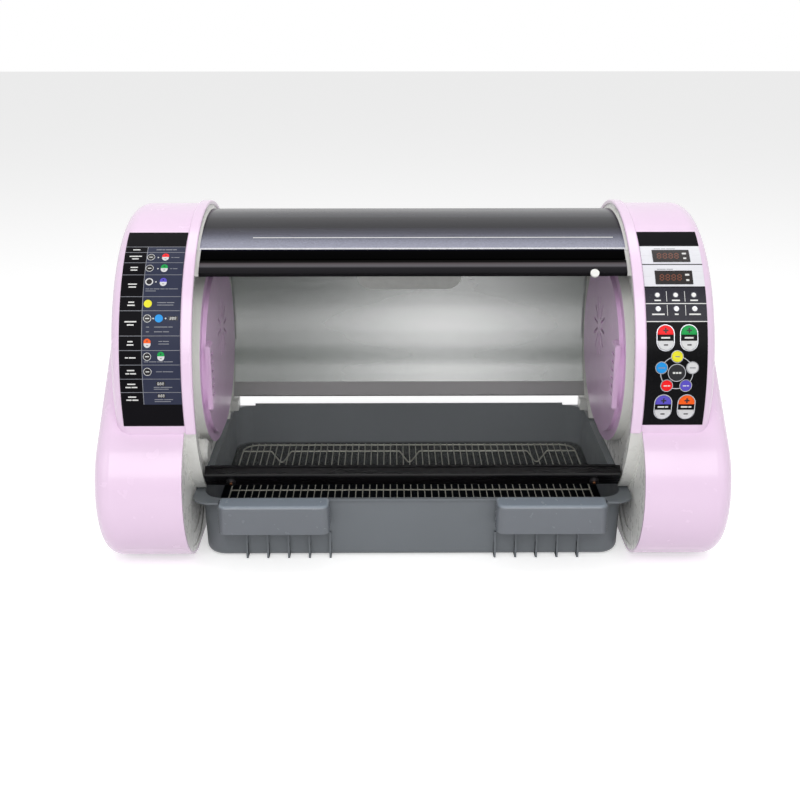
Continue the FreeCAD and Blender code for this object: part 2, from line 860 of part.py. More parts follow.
def oval(name, half_depth, half_height, low, high):
    """An upright elliptical disc across the drum's axis."""
    curve = document.addObject("Part::Ellipse", f"{name}_curve")
    bind(curve, MajorRadius=half_depth, MinorRadius=half_height)
    put(curve, (low, "axis_y", "axis_z + plate_rise"), "rotation(vector(1; 1; 1); 120)")
    disc = document.addObject("Part::Extrusion", name)
    disc.Base = curve
    disc.DirMode = "Custom"
    disc.Dir = Vector(1, 0, 0)
    disc.Solid = True
    return bind(disc, LengthFwd=f"({high}) - ({low})")


def vent_ring(name, low, high):
    """Radial slots round the fan's centre."""
    count = int(size("vent_slots"))
    slots = []
    for number in range(count):
        slot = document.addObject("Part::Box", f"{name}_{number}")
        bind(slot, Length=f"({high}) - ({low})", Width="vent_radius - 4 - vent_hub",
             Height="vent_slot_width")
        centre = f"placement(vector({low}; axis_y + vent_y; axis_z + vent_rise); " \
                 f"rotation(vector(1; 0; 0); {number} * 360 / vent_slots))"
        reach = "placement(vector(0; vent_hub; -vent_slot_width / 2); " \
                "rotation(vector(0; 0; 1); 0))"
        slot.setExpression("Placement", words(f"{centre} * {reach}"))
        slots.append(slot)
    return group(name, *slots)


def make_chamber_plate():
    """The pink plate that closes one end of the drum, with its vent and sensor housing."""
    lower = oval("plate_lower", "plate_half_depth", "plate_half_height",
                 "plate_face + plate_step", "end_wall_face")
    upper = oval("plate_upper", "plate_half_depth - plate_margin",
                 "plate_half_height - plate_margin", "plate_face", "end_wall_face")
    whole = fuse("plate_whole", lower, upper)
    slots = vent_ring("plate_slots", "plate_face - 1", "end_wall_face + 1")
    return cut("plate_done", whole, slots)


def make_sensor_housing():
    """The louvred housing over the air probes, at the front of the plate."""
    body = block("housing_block",
                 ("plate_face - sensor_box_proud", "axis_y + sensor_box_y", "sensor_box_z"),
                 ("plate_face", "axis_y + sensor_box_y + sensor_box_depth",
                  "sensor_box_z + sensor_box_height"))
    back = size("plate_face")
    body = bevelled("housing_bevelled", body, 2.5,
                    lambda edge: edge.BoundBox.XMin < back - 0.01)
    slots = []
    for number in range(int(size("sensor_slots"))):
        low = f"sensor_box_z + 18 + {number} * 12"
        slots.append(block(f"housing_slot_{number}",
                           ("plate_face - sensor_box_proud - 1",
                            "axis_y + sensor_box_y + 7", low),
                           ("plate_face + 1",
                            "axis_y + sensor_box_y + sensor_box_depth - 7", f"{low} + 4")))
    return cut("housing", body, group("housing_slots", *slots))


plate = make_chamber_plate()
keep(mirrored("plate_left", plate), "left_chamber_plate")
keep(plate, "right_chamber_plate")
housing = make_sensor_housing()
keep(mirrored("housing_left", housing), "left_sensor_housing")
keep(housing, "right_sensor_housing")
port = rod_x("port_blank", "port_radius", "-end_wall_face", "port_proud - end_wall_face",
             "axis_y + port_y", "port_z")
port_face = size("port_proud") - size("end_wall_face")
keep(bevelled("port", port, 4.0, lambda edge: edge.BoundBox.XMin > port_face - 0.01),
     "chamber_port")

# Fixed skins of the drum

keep(band("cover", "skin_inner", "skin_outer", "cover_start", "cover_end",
          "-fin_edge", "fin_edge"), "top_cover")
keep(band("rear_glass", "skin_inner", "skin_outer", "cover_end", "rear_window_end",
          "-fin_edge", "fin_edge"), "rear_window")
keep(band("rear_bar", "rear_rail_inner", "rear_rail_outer", "rear_window_end",
          "rear_rail_end", "-fin_edge", "fin_edge"), "rear_bottom_rail")


def long_outer_edges(inner, half):
    """Picks the long edges of a curved bar that lie outside a radius."""
    axis = Vector(0, size("axis_y"), size("axis_z"))

    def test(edge):
        box = edge.BoundBox
        if box.XMax - box.XMin < 2 * half - 1:
            return False
        middle = box.Center - axis
        return math.hypot(middle.y, middle.z) > inner

    return test


def make_top_rail():
    """The black rail over the door: a base that seats on the fins and two stepped bars."""
    base = band("rail_base", "skin_inner", "skin_outer", "rail_low", "rail_high",
                "-fin_edge", "fin_edge")
    lower = band("rail_lower", "skin_inner", "rail_low_outer", "rail_low", "rail_mid",
                 "-rail_half", "rail_half")
    upper = band("rail_upper", "skin_inner", "rail_high_outer", "rail_upper_start",
                 "rail_high", "-rail_half", "rail_half")
    solid = fuse("rail_solid", base, lower, upper)
    return rounded("rail_rounded", solid, 1.2,
                   long_outer_edges(size("skin_outer") + 2, size("rail_half")))


keep(make_top_rail(), "front_top_rail")


def stud(name, radius, x, angle, low, high):
    """A round piece that stands away from the drum's axis."""
    solid = document.addObject("Part::Cylinder", name)
    bind(solid, Radius=radius, Height=f"({high}) - ({low})")
    return radial_place(solid, x, angle, low)


keep(stud("plug", "plug_radius", "plug_x", "plug_angle", "rail_low_outer",
          "rail_low_outer + plug_proud"), "rail_plug")

# Front door

keep(band("glass", "glass_inner", "glass_inner + glass_thick", "door_low", "door_high",
          "-glass_half", "glass_half"), "door_window")


def make_runner():
    """The nylon strip that carries one side edge of the door round its guide."""
    strip = band("runner_strip", "end_wall_radius + runner_gap", "fin_inner - runner_gap",
                 "door_low - 1.5", "door_high + 1.5", "runner_edge", "runner_side")
    slot = band("runner_slot", "glass_inner - glass_gap",
                "glass_inner + glass_thick + glass_gap", "door_low - glass_gap",
                "door_high + glass_gap", "runner_edge - 1", "glass_half + glass_gap")
    return cut("runner", strip, slot)


runner = make_runner()
keep(mirrored("runner_left", runner), "left_door_runner")
keep(runner, "right_door_runner")


def make_handle_rail():
    """The black bar along the door's lower edge, with a thin flange up the glass."""
    seat = "glass_inner + glass_thick + glass_gap"
    bar = band("bar", seat, "bar_outer", "bar_low", "bar_high", "-bar_half", "bar_half")
    bar = rounded("bar_rounded", bar, size("bar_round"),
                  long_outer_edges(size("bar_outer") - 1, size("bar_half")))
    flange = band("bar_flange", seat, "bar_seat", "bar_low", "flange_high",
                  "-flange_half", "flange_half")
    return fuse("handle_rail", bar, flange)


keep(make_handle_rail(), "door_handle_rail")
BAR_MIDDLE = "((bar_low + bar_high) / 2)"
knobs = []
for side in (-1, 1):
    grip = stud(f"knob_{side + 1}", "knob_radius", f"{side} * knob_x", BAR_MIDDLE,
                "bar_outer", "bar_outer + knob_proud")
    tip = stud(f"tip_{side + 1}", "knob_tip", f"{side} * knob_x", BAR_MIDDLE,
               "bar_outer + knob_proud - 1", "bar_outer + knob_proud + knob_tip_proud")
    knobs.append(fuse(f"knob_whole_{side + 1}", grip, tip))
keep(group("knobs", *knobs), "door_knobs")


# Tray

TRAY_MIDDLE = "(axis_y + (tray_front + tray_rear) / 2)"
TRAY_HALF_DEPTH = "((tray_rear - tray_front) / 2)"


def tray_form(name, inset):
    """The tray's basin as a solid: drafted walls and a rounded base."""
    body = document.addObject("PartDesign::Body", name)
    outline = rounded_rectangle(body, f"{name}_outline", f"(tray_half - {inset})",
                                f"({TRAY_HALF_DEPTH} - {inset})", f"(tray_corner - {inset})")
    basin = body.newObject("PartDesign::Pad", f"{name}_basin")
    basin.Profile = outline
    basin.Reversed = True
    bind(basin, Length=f"tray_rim - tray_floor - {inset}", TaperAngle="-tray_draft")
    document.recompute()
    low = basin.Shape.BoundBox.ZMin
    edges = [f"Edge{number}" for number, edge in enumerate(basin.Shape.Edges, start=1)
             if edge.BoundBox.ZMax < low + 0.01]
    soften(body, f"{name}_base", basin, edges, f"tray_base_round - {inset}")
    return put(body, ("0", TRAY_MIDDLE, "tray_rim"))


def slab(name, half_width, half_depth, corner, low, high, middle):
    """A flat plate with rounded corners."""
    body = document.addObject("PartDesign::Body", name)
    outline = rounded_rectangle(body, f"{name}_outline", half_width, half_depth, corner)
    pad(body, f"{name}_raise", outline, f"({high}) - ({low})")
    return put(body, ("0", middle, low))


def make_tray():
    """The pull-out tray: basin, rim with side wings, rear lip and foot ribs."""
    wall = size("tray_wall")
    basin = tray_form("tray_outside", 0)
    hollow = tray_form("tray_inside", wall)
    mouth = slab("tray_mouth", "(tray_half - tray_wall)", f"({TRAY_HALF_DEPTH} - tray_wall)",
                 "(tray_corner - tray_wall)", "tray_rim", "tray_rim + rim_thick + 10",
                 TRAY_MIDDLE)
    wings = slab("tray_wings", "wing_half", "((wing_rear - wing_front) / 2)", "wing_corner",
                 "tray_rim", "tray_rim + rim_thick",
                 "(axis_y + (wing_front + wing_rear) / 2)")
    notch = block("wing_notch", ("-lip_half", "axis_y + wing_front - 5", "tray_rim - 1"),
                  ("lip_half", "axis_y + lip_front", "tray_rim + rim_thick + 1"))
    lip = block("rear_lip", ("-rear_lip_half", "axis_y + tray_rear - tray_wall",
                             "tray_rim + 1"),
                ("rear_lip_half", "axis_y + tray_rear", "tray_rim + rim_thick + rear_lip_rise"))
    ribs = []
    for side in (-1, 1):
        for number in range(int(size("rib_count"))):
            middle = f"{side} * (rib_first + {number} * rib_pitch)"
            ribs.append(block(f"rib_{side + 1}_{number}",
                              (f"{middle} - rib_width / 2", "axis_y + tray_front - rib_proud",
                               "tray_floor - rib_drop"),
                              (f"{middle} + rib_width / 2",
                               "axis_y + tray_front + tray_base_round + 4",
                               "tray_floor + tray_base_round + 30")))
    solid = fuse("tray_solid", basin, cut("wings_cut", wings, notch), lip, *ribs)
    return cut("tray_done", solid, fuse("tray_space", hollow, mouth))


keep(make_tray(), "tray")


def handle_form(name, inset, back, drop):
    """A tray handle as a solid: a box with rounded front corners and a rounded top."""
    base = block(f"{name}_block",
                 (f"handle_inner + {inset}", f"axis_y + lip_front - handle_depth + {inset}",
                  f"handle_top - handle_height - {drop}"),
                 (f"handle_inner + handle_width - {inset}", f"axis_y + lip_front + {back}",
                  f"handle_top - {inset}"))
    document.recompute()
    front = base.Shape.BoundBox.YMin
    rear = base.Shape.BoundBox.YMax
    corner = size("handle_corner") - inset
    sides = rounded(f"{name}_corners", base, corner,
                    lambda edge: edge.BoundBox.ZMax - edge.BoundBox.ZMin > 5
                    and edge.BoundBox.YMax < front + 0.01)
    document.recompute()
    top = base.Shape.BoundBox.ZMax
    return rounded(name, sides, size("handle_round") - inset,
                   lambda edge: edge.BoundBox.ZMin > top - 0.01
                   and edge.BoundBox.YMin < rear - 0.01)


handle = cut("handle", handle_form("handle_outside", 0, 0, 0),
             handle_form("handle_inside", size("handle_wall"), 1, 5))
keep(mirrored("handle_left", handle), "left_tray_handle")
keep(handle, "right_tray_handle")


def bar_between(name, x_low, x_high, z_low, z_high, y):
    """A slanted square wire in an X-Z plane, from a lower point to an upper one."""
    solid = document.addObject("Part::Box", name)
    run = f"(({x_high}) - ({x_low}))"
    rise = f"(({z_high}) - ({z_low}))"
    bind(solid, Length="rack_frame", Width="rack_frame",
         Height=f"sqrt({run} * {run} + {rise} * {rise})")
    centre = f"placement(vector({x_low}; {y}; {z_low}); " \
             f"rotation(vector(0; 1; 0); atan({run} / {rise})))"
    middle = "placement(vector(-rack_frame / 2; -rack_frame / 2; 0); " \
             "rotation(vector(0; 0; 1); 0))"
    solid.setExpression("Placement", words(f"{centre} * {middle}"))
    return solid


def bar_x(name, low, high, y, z):
    """A square wire along X."""
    return block(name, (low, f"{y} - rack_frame / 2", f"{z} - rack_frame / 2"),
                 (high, f"{y} + rack_frame / 2", f"{z} + rack_frame / 2"))


def bar_y(name, low, high, x, z):
    """A square wire along Y."""
    return block(name, (f"{x} - rack_frame / 2", low, f"{z} - rack_frame / 2"),
                 (f"{x} + rack_frame / 2", high, f"{z} + rack_frame / 2"))


def rack_bend(name, x, y, turn):
    """A quarter bend of the rack's square border wire."""
    bulk = document.addObject("Part::Cylinder", f"{name}_bulk")
    bind(bulk, Radius="rack_corner + rack_frame / 2", Height="rack_frame")
    bulk.Angle = 90
    put(bulk, (x, y, "rack_height - rack_frame / 2"), f"rotation(vector(0; 0; 1); {turn})")
    core = rod_z(f"{name}_core", "rack_corner - rack_frame / 2", "rack_height - rack_frame",
                 "rack_height + rack_frame", x, y)
    return cut(name, bulk, core)


def make_rack():
    """The wire rack: a bent frame, cross wires with V feet, and the close row of floor wires."""
    level = "rack_height"
    front = "axis_y + rack_front"
    rear = "axis_y + rack_rear"
    inner = "rack_half - rack_corner"
    parts = [
        bar_x("rack_rear_rod", f"-({inner})", inner, rear, level),
        bar_x("rack_front_rod", f"-({inner})", inner, front, level),
        bar_y("rack_left_rod", f"{front} + rack_corner", f"{rear} - rack_corner",
              "-rack_half", level),
        bar_y("rack_right_rod", f"{front} + rack_corner", f"{rear} - rack_corner",
              "rack_half", level),
    ]
    corners = ((inner, f"{rear} - rack_corner", 0), (f"-({inner})", f"{rear} - rack_corner", 90),
               (f"-({inner})", f"{front} + rack_corner", 180),
               (inner, f"{front} + rack_corner", 270))
    for number, (x, y, turn) in enumerate(corners):
        parts.append(rack_bend(f"rack_bend_{number}", x, y, turn))
    tip = "tray_floor + tray_wall + rack_frame / 2 + 0.3"
    for line, y in enumerate(("axis_y - rack_cross", "axis_y + rack_middle",
                              "axis_y + rack_cross")):
        stops = ["-rack_half"]
        if line != 1:
            for number, middle in enumerate(("-rack_foot_x", "0", "rack_foot_x")):
                left = f"{middle} - rack_foot_half"
                right = f"{middle} + rack_foot_half"
                parts.append(bar_between(f"foot_{line}_{number}_left", middle, left, tip,
                                         level, y))
                parts.append(bar_between(f"foot_{line}_{number}_right", middle, right, tip,
                                         level, y))
                parts.append(bar_x(f"foot_{line}_{number}_tip", f"{middle} - rack_frame / 2",
                                   f"{middle} + rack_frame / 2", y, tip))
                stops += [left, right]
        stops.append("rack_half")
        for number in range(0, len(stops), 2):
            parts.append(bar_x(f"cross_{line}_{number}", stops[number], stops[number + 1], y,
                               level))
    low = "rack_height + rack_frame / 2 - rack_sink"
    for number in range(int(size("rack_count"))):
        x = f"rack_pitch * ({number} - (rack_count - 1) / 2)"
        parts.append(block(f"floor_wire_{number}", (f"{x} - rack_wire / 2", front, low),
                           (f"{x} + rack_wire / 2", rear, f"{low} + rack_wire")))
    rack = fuse("rack", *parts)
    rack.Refine = False
    return rack


keep(make_rack(), "wire_rack")


# Lamp on the rear window


def lamp_blank(name, inset, start, depth):
    """A rounded plate that faces the drum's axis."""
    body = document.addObject("PartDesign::Body", name)
    outline = rounded_rectangle(body, f"{name}_outline", f"(lamp_width / 2 - {inset})",
                                f"(lamp_height / 2 - {inset})", f"(lamp_corner - {inset})")
    pad(body, f"{name}_raise", outline, depth)
    return radial_place(body, "0", "lamp_angle", start)


def make_lamp():
    """The lamp's diffuser, hollow and open to the window, and the board of lights in it."""
    outside = lamp_blank("lamp_outside", "0", "lamp_face", "skin_inner - lamp_face + 5")
    bore = rod_x("lamp_bore", "skin_inner - 0.1", "-lamp_width", "lamp_width",
                 "axis_y", "axis_z")
    hollow = lamp_blank("lamp_inside", "lamp_wall", "lamp_face + lamp_wall",
                        "skin_inner - lamp_face + 5")
    keep(cut("lamp", common("lamp_curved", outside, bore), hollow), "lamp_cover")
    keep(lamp_blank("lamp_lights", "(lamp_wall + 5)", "skin_inner - 2.4 - board_thick",
                    "board_thick"), "lamp_board")


make_lamp()

# Rear of the pods

REAR = "(axis_y + arch_radius)"


def make_inlet():
    """The mains inlet: a bezel, a socket with three pins, and its body inside the pod."""
    x = "inlet_x"
    z = "inlet_z"
    body = block("inlet_body", (f"{x} - 13.5", f"{REAR} - 22", f"{z} - 10"),
                 (f"{x} + 13.5", REAR, f"{z} + 10"))
    bezel = block("inlet_bezel", (f"{x} - 16", REAR, f"{z} - 13"),
                  (f"{x} + 16", f"{REAR} + 2.5", f"{z} + 13"))
    recess = block("inlet_recess", (f"{x} - 12", f"{REAR} - 14", f"{z} - 8"),
                   (f"{x} + 12", f"{REAR} + 3", f"{z} + 8"))
    shell = cut("inlet_shell", fuse("inlet_solid", body, bezel), recess)
    pins = []
    for name, across, up in (("live", -7, -2), ("neutral", 7, -2), ("earth", 0, 3)):
        pins.append(block(f"inlet_{name}", (f"{x} + {across} - 1", f"{REAR} - 14.5",
                                            f"{z} + {up} - 2"),
                          (f"{x} + {across} + 1", f"{REAR} + 0.5", f"{z} + {up} + 2")))
    keep(fuse("inlet", shell, *pins), "power_inlet")
    return block("inlet_hole", (f"{x} - 13.6", f"{REAR} - wall - 1", f"{z} - 10.1"),
                 (f"{x} + 13.6", f"{REAR} + 1", f"{z} + 10.1"))


def make_switch():
    """The mains rocker switch: a frame in the rear wall and a rocker on its cross axis."""
    x = "inlet_x"
    z = "switch_z"
    axis = f"{REAR} - 5"
    body = block("switch_body", (f"{x} - 9", f"{REAR} - 20", f"{z} - 11"),
                 (f"{x} + 9", REAR, f"{z} + 11"))
    bezel = block("switch_bezel", (f"{x} - 11", REAR, f"{z} - 13"),
                  (f"{x} + 11", f"{REAR} + 2", f"{z} + 13"))
    well = rod_x("switch_well", "9.2", f"{x} - 6.6", f"{x} + 6.6", axis, z)
    mouth = block("switch_mouth", (f"{x} - 6.6", axis, f"{z} - 9.2"),
                  (f"{x} + 6.6", f"{REAR} + 3", f"{z} + 9.2"))
    keep(cut("switch", fuse("switch_solid", body, bezel), fuse("switch_space", well, mouth)),
         "switch_frame")
    wheel = rod_x("rocker_wheel", "9", f"{x} - 6.2", f"{x} + 6.2", axis, z)
    faces = []
    for side in (1, -1):
        shave = document.addObject("Part::Box", f"rocker_shave_{side + 1}")
        bind(shave, Length="14", Width="12", Height="12")
        centre = f"placement(vector({x} - 7; {axis}; {z}); " \
                 f"rotation(vector(1; 0; 0); switch_tilt - {side} * switch_angle))"
        away = f"placement(vector(0; 6.5; {0 if side > 0 else -12}); " \
               "rotation(vector(0; 0; 1); 0))"
        shave.setExpression("Placement", words(f"{centre} * {away}"))
        faces.append(shave)
    keep(cut("rocker", wheel, fuse("rocker_shaves", *faces)), "power_switch")
    return block("switch_hole", (f"{x} - 9.1", f"{REAR} - wall - 1", f"{z} - 11.1"),
                 (f"{x} + 9.1", f"{REAR} + 1", f"{z} + 11.1"))


def make_tank(label, level):
    """A water tank with its filler neck through the rear wall, and its quarter-turn cap."""
    x = "-cap_x"
    shell = block(f"{label}_shell", (f"{x} - 28", f"{REAR} - wall - 60", f"{level} - 25"),
                  (f"{x} + 28", f"{REAR} - wall", f"{level} + 25"))
    neck = rod_y(f"{label}_neck", "neck_radius", f"{REAR} - wall - 1", f"{REAR} + neck_proud",
                 x, level)
    space = block(f"{label}_space", (f"{x} - 26", f"{REAR} - wall - 58", f"{level} - 23"),
                  (f"{x} + 26", f"{REAR} - wall - 2", f"{level} + 23"))
    bore = rod_y(f"{label}_bore", "neck_radius - 2.5", f"{REAR} - wall - 5",
                 f"{REAR} + neck_proud + 1", x, level)
    solid = fuse(f"{label}_solid", shell, neck)
    keep(cut(f"{label}_done", solid, fuse(f"{label}_hollow", space, bore)), f"{label}_tank")
    disc = rod_y(f"{label}_disc", "cap_radius", f"{REAR} + 0.3", f"{REAR} + 0.3 + cap_thick",
                 x, level)
    seat = rod_y(f"{label}_seat", "neck_radius + 0.3", REAR, f"{REAR} + neck_proud + 0.3",
                 x, level)
    grips = []
    for side in (-1, 1):
        low = "cap_radius * 0.2" if side > 0 else "-cap_radius"
        high = "cap_radius" if side > 0 else "-cap_radius * 0.2"
        grips.append(block(f"{label}_grip_{side + 1}",
                           (f"{x} - cap_radius", f"{REAR} + cap_thick - 0.7",
                            f"{level} + {low}"),
                           (f"{x} + cap_radius", f"{REAR} + cap_thick + 2",
                            f"{level} + {high}")))
    keep(cut(f"{label}_cap_done", disc, fuse(f"{label}_cap_space", seat, *grips)),
         f"{label}_cap")
    return rod_y(f"{label}_hole", "neck_radius + 0.2", f"{REAR} - wall - 1", f"{REAR} + 1",
                 x, level)


def make_spigot():
    """The oxygen hose spigot on the rear of the left pod."""
    x = "-spigot_x"
    flange = rod_y("spigot_flange", "11", REAR, f"{REAR} + 3", x, "spigot_z")
    barrel = rod_y("spigot_barrel", "spigot_radius", f"{REAR} - 12", f"{REAR} + spigot_reach",
                   x, "spigot_z")
    nut = rod_y("spigot_nut", "7.5", f"{REAR} - wall - 4", f"{REAR} - wall", x, "spigot_z")
    bore = rod_y("spigot_bore_tool", "spigot_bore", f"{REAR} - 13",
                 f"{REAR} + spigot_reach + 1", x, "spigot_z")
    keep(cut("spigot", fuse("spigot_solid", flange, barrel, nut), bore), "oxygen_spigot")
    return rod_y("spigot_hole", "spigot_radius + 0.1", f"{REAR} - wall - 1", f"{REAR} + 1",
                 x, "spigot_z")


def make_louvres():
    """The cooling slots in the rear of the right pod."""
    slots = []
    for number in range(int(size("louvre_count"))):
        low = f"louvre_z + {number} * louvre_pitch"
        slots.append(block(f"louvre_{number}", ("inlet_x - 25", f"{REAR} - wall - 1", low),
                           ("inlet_x + 25", f"{REAR} + 1", f"{low} + 4")))
    return group("louvres", *slots)


def make_feet():
    """Rubber feet under both pods."""
    feet = []
    for side in (-1, 1):
        for column, x in enumerate(("foot_inner_x", "foot_outer_x")):
            for line, y in enumerate(("axis_y - toe_forward + 12", "axis_y + heel_back - 5")):
                foot = rod_z(f"foot_{side + 1}_{column}_{line}", "foot_radius", "0",
                             "foot_height", f"{side} * {x}", y)
                feet.append(foot)
    return keep(group("feet", *feet), "rubber_feet")


make_feet()
right_openings = group("right_openings", keypad_openings, make_inlet(), make_switch(),
                       make_louvres())
left_openings = group("left_openings", make_tank("humidifier", "cap_low_z"),
                      make_tank("nebuliser", "cap_high_z"), make_spigot())
keep(cut("right_shell", pod, right_openings), "right_outer_shell")
keep(cut("left_shell", mirrored("pod_left", pod), left_openings), "left_outer_shell")


# Works inside the pods

FAN_Y = "(axis_y + vent_y)"
FAN_Z = "(axis_z + vent_rise)"
FAN_FACE = "(frame_face + frame_thick)"


def make_fan():
    """The circulation fan behind the left plate: housing, motor on four struts, impeller."""
    body = block("fan_block", (f"-{FAN_FACE} - fan_depth", f"{FAN_Y} - fan_half",
                               f"{FAN_Z} - fan_half"),
                 (f"-{FAN_FACE}", f"{FAN_Y} + fan_half", f"{FAN_Z} + fan_half"))
    bore = rod_x("fan_bore", "fan_half - 4", f"-{FAN_FACE} - fan_depth - 1",
                 f"-{FAN_FACE} + 1", FAN_Y, FAN_Z)
    keep(cut("fan_shell", body, bore), "fan_housing")
    back = f"-{FAN_FACE} - fan_depth"
    hub = rod_x("fan_motor_hub", "fan_hub", back, f"{back} + 9", FAN_Y, FAN_Z)
    shaft = rod_x("fan_shaft", "2", f"{back} + 8", f"{back} + 20", FAN_Y, FAN_Z)
    across = block("fan_strut_flat", (back, f"{FAN_Y} - fan_half + 4.2", f"{FAN_Z} - 2"),
                   (f"{back} + 4", f"{FAN_Y} + fan_half - 4.2", f"{FAN_Z} + 2"))
    upright = block("fan_strut_tall", (back, f"{FAN_Y} - 2", f"{FAN_Z} - fan_half + 4.2"),
                    (f"{back} + 4", f"{FAN_Y} + 2", f"{FAN_Z} + fan_half - 4.2"))
    keep(fuse("fan_motor_whole", hub, shaft, across, upright), "fan_motor")
    near = f"{back} + 9.5"
    boss = rod_x("impeller_boss", "fan_hub", near, f"{near} + 16", FAN_Y, FAN_Z)
    blades = []
    for number in range(int(size("fan_blades"))):
        blade = document.addObject("Part::Box", f"impeller_blade_{number}")
        bind(blade, Length="1.6", Width="fan_half - 4 - fan_gap - fan_hub + 3", Height="18")
        centre = f"placement(vector({near} + 8; {FAN_Y}; {FAN_Z}); " \
                 f"rotation(vector(1; 0; 0); {number} * 360 / fan_blades))"
        reach = "placement(vector(0; fan_hub - 3; 0); rotation(vector(0; 1; 0); 50))"
        middle = "placement(vector(-0.8; 0; -9); rotation(vector(0; 0; 1); 0))"
        blade.setExpression("Placement", words(f"{centre} * {reach} * {middle}"))
        blades.append(blade)
    solid = fuse("impeller_solid", boss, *blades)
    eye = rod_x("impeller_eye", "2.05", f"{near} - 1", f"{near} + 12", FAN_Y, FAN_Z)
    keep(cut("impeller", solid, eye), "fan_impeller")


def make_heater():
    """The finned heater behind the fan."""
    near = f"-{FAN_FACE} - fan_depth"
    body = block("heater_body", (f"{near} - 16", f"{FAN_Y} - 50", f"{FAN_Z} - 32"),
                 (near, f"{FAN_Y} + 50", f"{FAN_Z} + 32"))
    gaps = []
    for number in range(9):
        low = f"{FAN_Y} - 44 + {number} * 10"
        gaps.append(block(f"heater_gap_{number}", (f"{near} - 17", low, f"{FAN_Z} - 26"),
                          (f"{near} + 1", f"{low} + 7", f"{FAN_Z} + 26")))
    keep(cut("heater_done", body, group("heater_gaps", *gaps)), "heater")


def make_electronics():
    """The control board on its posts, and the power supply on the floor of the right pod."""
    face = "(frame_face + frame_thick)"
    board = block("board_sheet", (f"{face} + 6", "axis_y - 150", "axis_z - 40"),
                  (f"{face} + 6 + board_thick", "axis_y - 50", "axis_z + 90"))
    parts = [board]
    for number, (y, z) in enumerate(((-145, -35), (-55, -35), (-145, 85), (-55, 85))):
        parts.append(rod_x(f"board_post_{number}", "3", face, f"{face} + 6.5",
                           f"axis_y + {y}", f"axis_z + {z}"))
    for number, (y, z, wide, tall) in enumerate(((-130, 40, 22, 22), (-90, 20, 14, 30),
                                                 (-135, -20, 40, 12), (-80, -25, 16, 16))):
        parts.append(block(f"board_chip_{number}",
                           (f"{face} + 6 + board_thick - 0.5", f"axis_y + {y}",
                            f"axis_z + {z}"),
                           (f"{face} + 6 + board_thick + 6", f"axis_y + {y} + {wide}",
                            f"axis_z + {z} + {tall}")))
    keep(fuse("board_whole", *parts), "control_board")
    floor = "foot_height + wall"
    case = block("supply_case", ("pod_face + 15", "axis_y - 70", floor),
                 ("pod_face + 98", "axis_y + 80", f"{floor} + 45"))
    window = block("supply_window", ("pod_face + 20", "axis_y + 60", f"{floor} + 25"),
                   ("pod_face + 93", "axis_y + 81", f"{floor} + 46"))
    keep(cut("supply", case, window), "power_supply")


make_fan()
make_heater()
make_electronics()

document.recompute()
faults = [f"{thing.Name}: {thing.State}" for thing in document.Objects
          if "Invalid" in thing.State or "Error" in thing.State]
for thing in nodes:
    shape = thing.Shape
    if shape.isNull() or not shape.isValid() or not shape.Solids:
        faults.append(f"{thing.Label}: no valid solid")
if faults:
    raise RuntimeError("; ".join(faults))
os.makedirs("parts", exist_ok=True)
for thing in nodes:
    thing.Shape.exportStep(os.path.join("parts", f"{thing.Label}.step"))
print(len(nodes), "pieces")
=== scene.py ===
import math
import bmesh
import bpy
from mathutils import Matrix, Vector


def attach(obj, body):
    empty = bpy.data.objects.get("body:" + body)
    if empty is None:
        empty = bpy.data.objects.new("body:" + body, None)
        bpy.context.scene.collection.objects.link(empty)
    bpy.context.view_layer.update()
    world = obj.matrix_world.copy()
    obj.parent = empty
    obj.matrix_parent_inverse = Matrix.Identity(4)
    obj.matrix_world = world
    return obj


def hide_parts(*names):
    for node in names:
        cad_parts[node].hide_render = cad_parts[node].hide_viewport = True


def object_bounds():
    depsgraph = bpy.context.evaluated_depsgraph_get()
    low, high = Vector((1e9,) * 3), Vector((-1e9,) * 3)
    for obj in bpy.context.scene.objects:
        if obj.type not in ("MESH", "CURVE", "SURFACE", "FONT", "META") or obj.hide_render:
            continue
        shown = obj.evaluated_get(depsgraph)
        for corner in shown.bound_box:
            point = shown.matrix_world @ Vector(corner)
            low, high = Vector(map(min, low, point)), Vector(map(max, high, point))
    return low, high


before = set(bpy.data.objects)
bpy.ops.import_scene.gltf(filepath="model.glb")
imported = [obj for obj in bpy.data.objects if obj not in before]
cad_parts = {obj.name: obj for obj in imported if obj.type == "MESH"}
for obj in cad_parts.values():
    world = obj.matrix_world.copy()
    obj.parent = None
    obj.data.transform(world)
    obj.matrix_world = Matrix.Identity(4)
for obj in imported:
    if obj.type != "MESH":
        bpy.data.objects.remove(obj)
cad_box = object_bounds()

# Sizes of the incubator, in millimetres unless they say otherwise

MM = 0.001
DRUM_Y = 12.45
DRUM_Z = 257.0
PANEL_RADIUS = 225.5
PANEL_LEFT = 315.0
PANEL_RIGHT = 397.6
PANEL_MIDDLE = 356.3
PANEL_HIGH = 256.6
SCREEN_RADIUS = 226.0
KEY_RADIUS = 227.0
PRINT_LIFT = 0.06
MARK_LIFT = 0.12
PRINT_SINK = 0.2
STAMP_LIFT = 0.04
STAMP_SINK = 0.05
KEY_SIGN_SINK = 0.06
CURVE_STEP = 3.0
# Where the rear window's painted light is brightest, along the drum.
REAR_PAINTED_LIGHT_X = 60.0
PLATE_SKIRT = 298.3
KNOB_TIP_REACH = 231.6
COVER_SEEN = 297.6
RAIL_SEEN = 295.2
TRAY_DARK = 27.0
EDGE_SOFT = 0.3
EVEN = (1.0, 1.0, 1.0)
DRAWN = (0.05, 1.0, 1.0)


def linear(red, green, blue):
    """A colour as a screen shows it, 0 to 255, turned into light."""
    def channel(value):
        share = value / 255
        return share / 12.92 if share <= 0.04045 else ((share + 0.055) / 1.055) ** 2.4
    return (channel(red), channel(green), channel(blue), 1.0)


def dimmed(colour, share):
    """A colour with its light cut to a share."""
    return tuple(channel * share for channel in colour[:3]) + (1.0,)


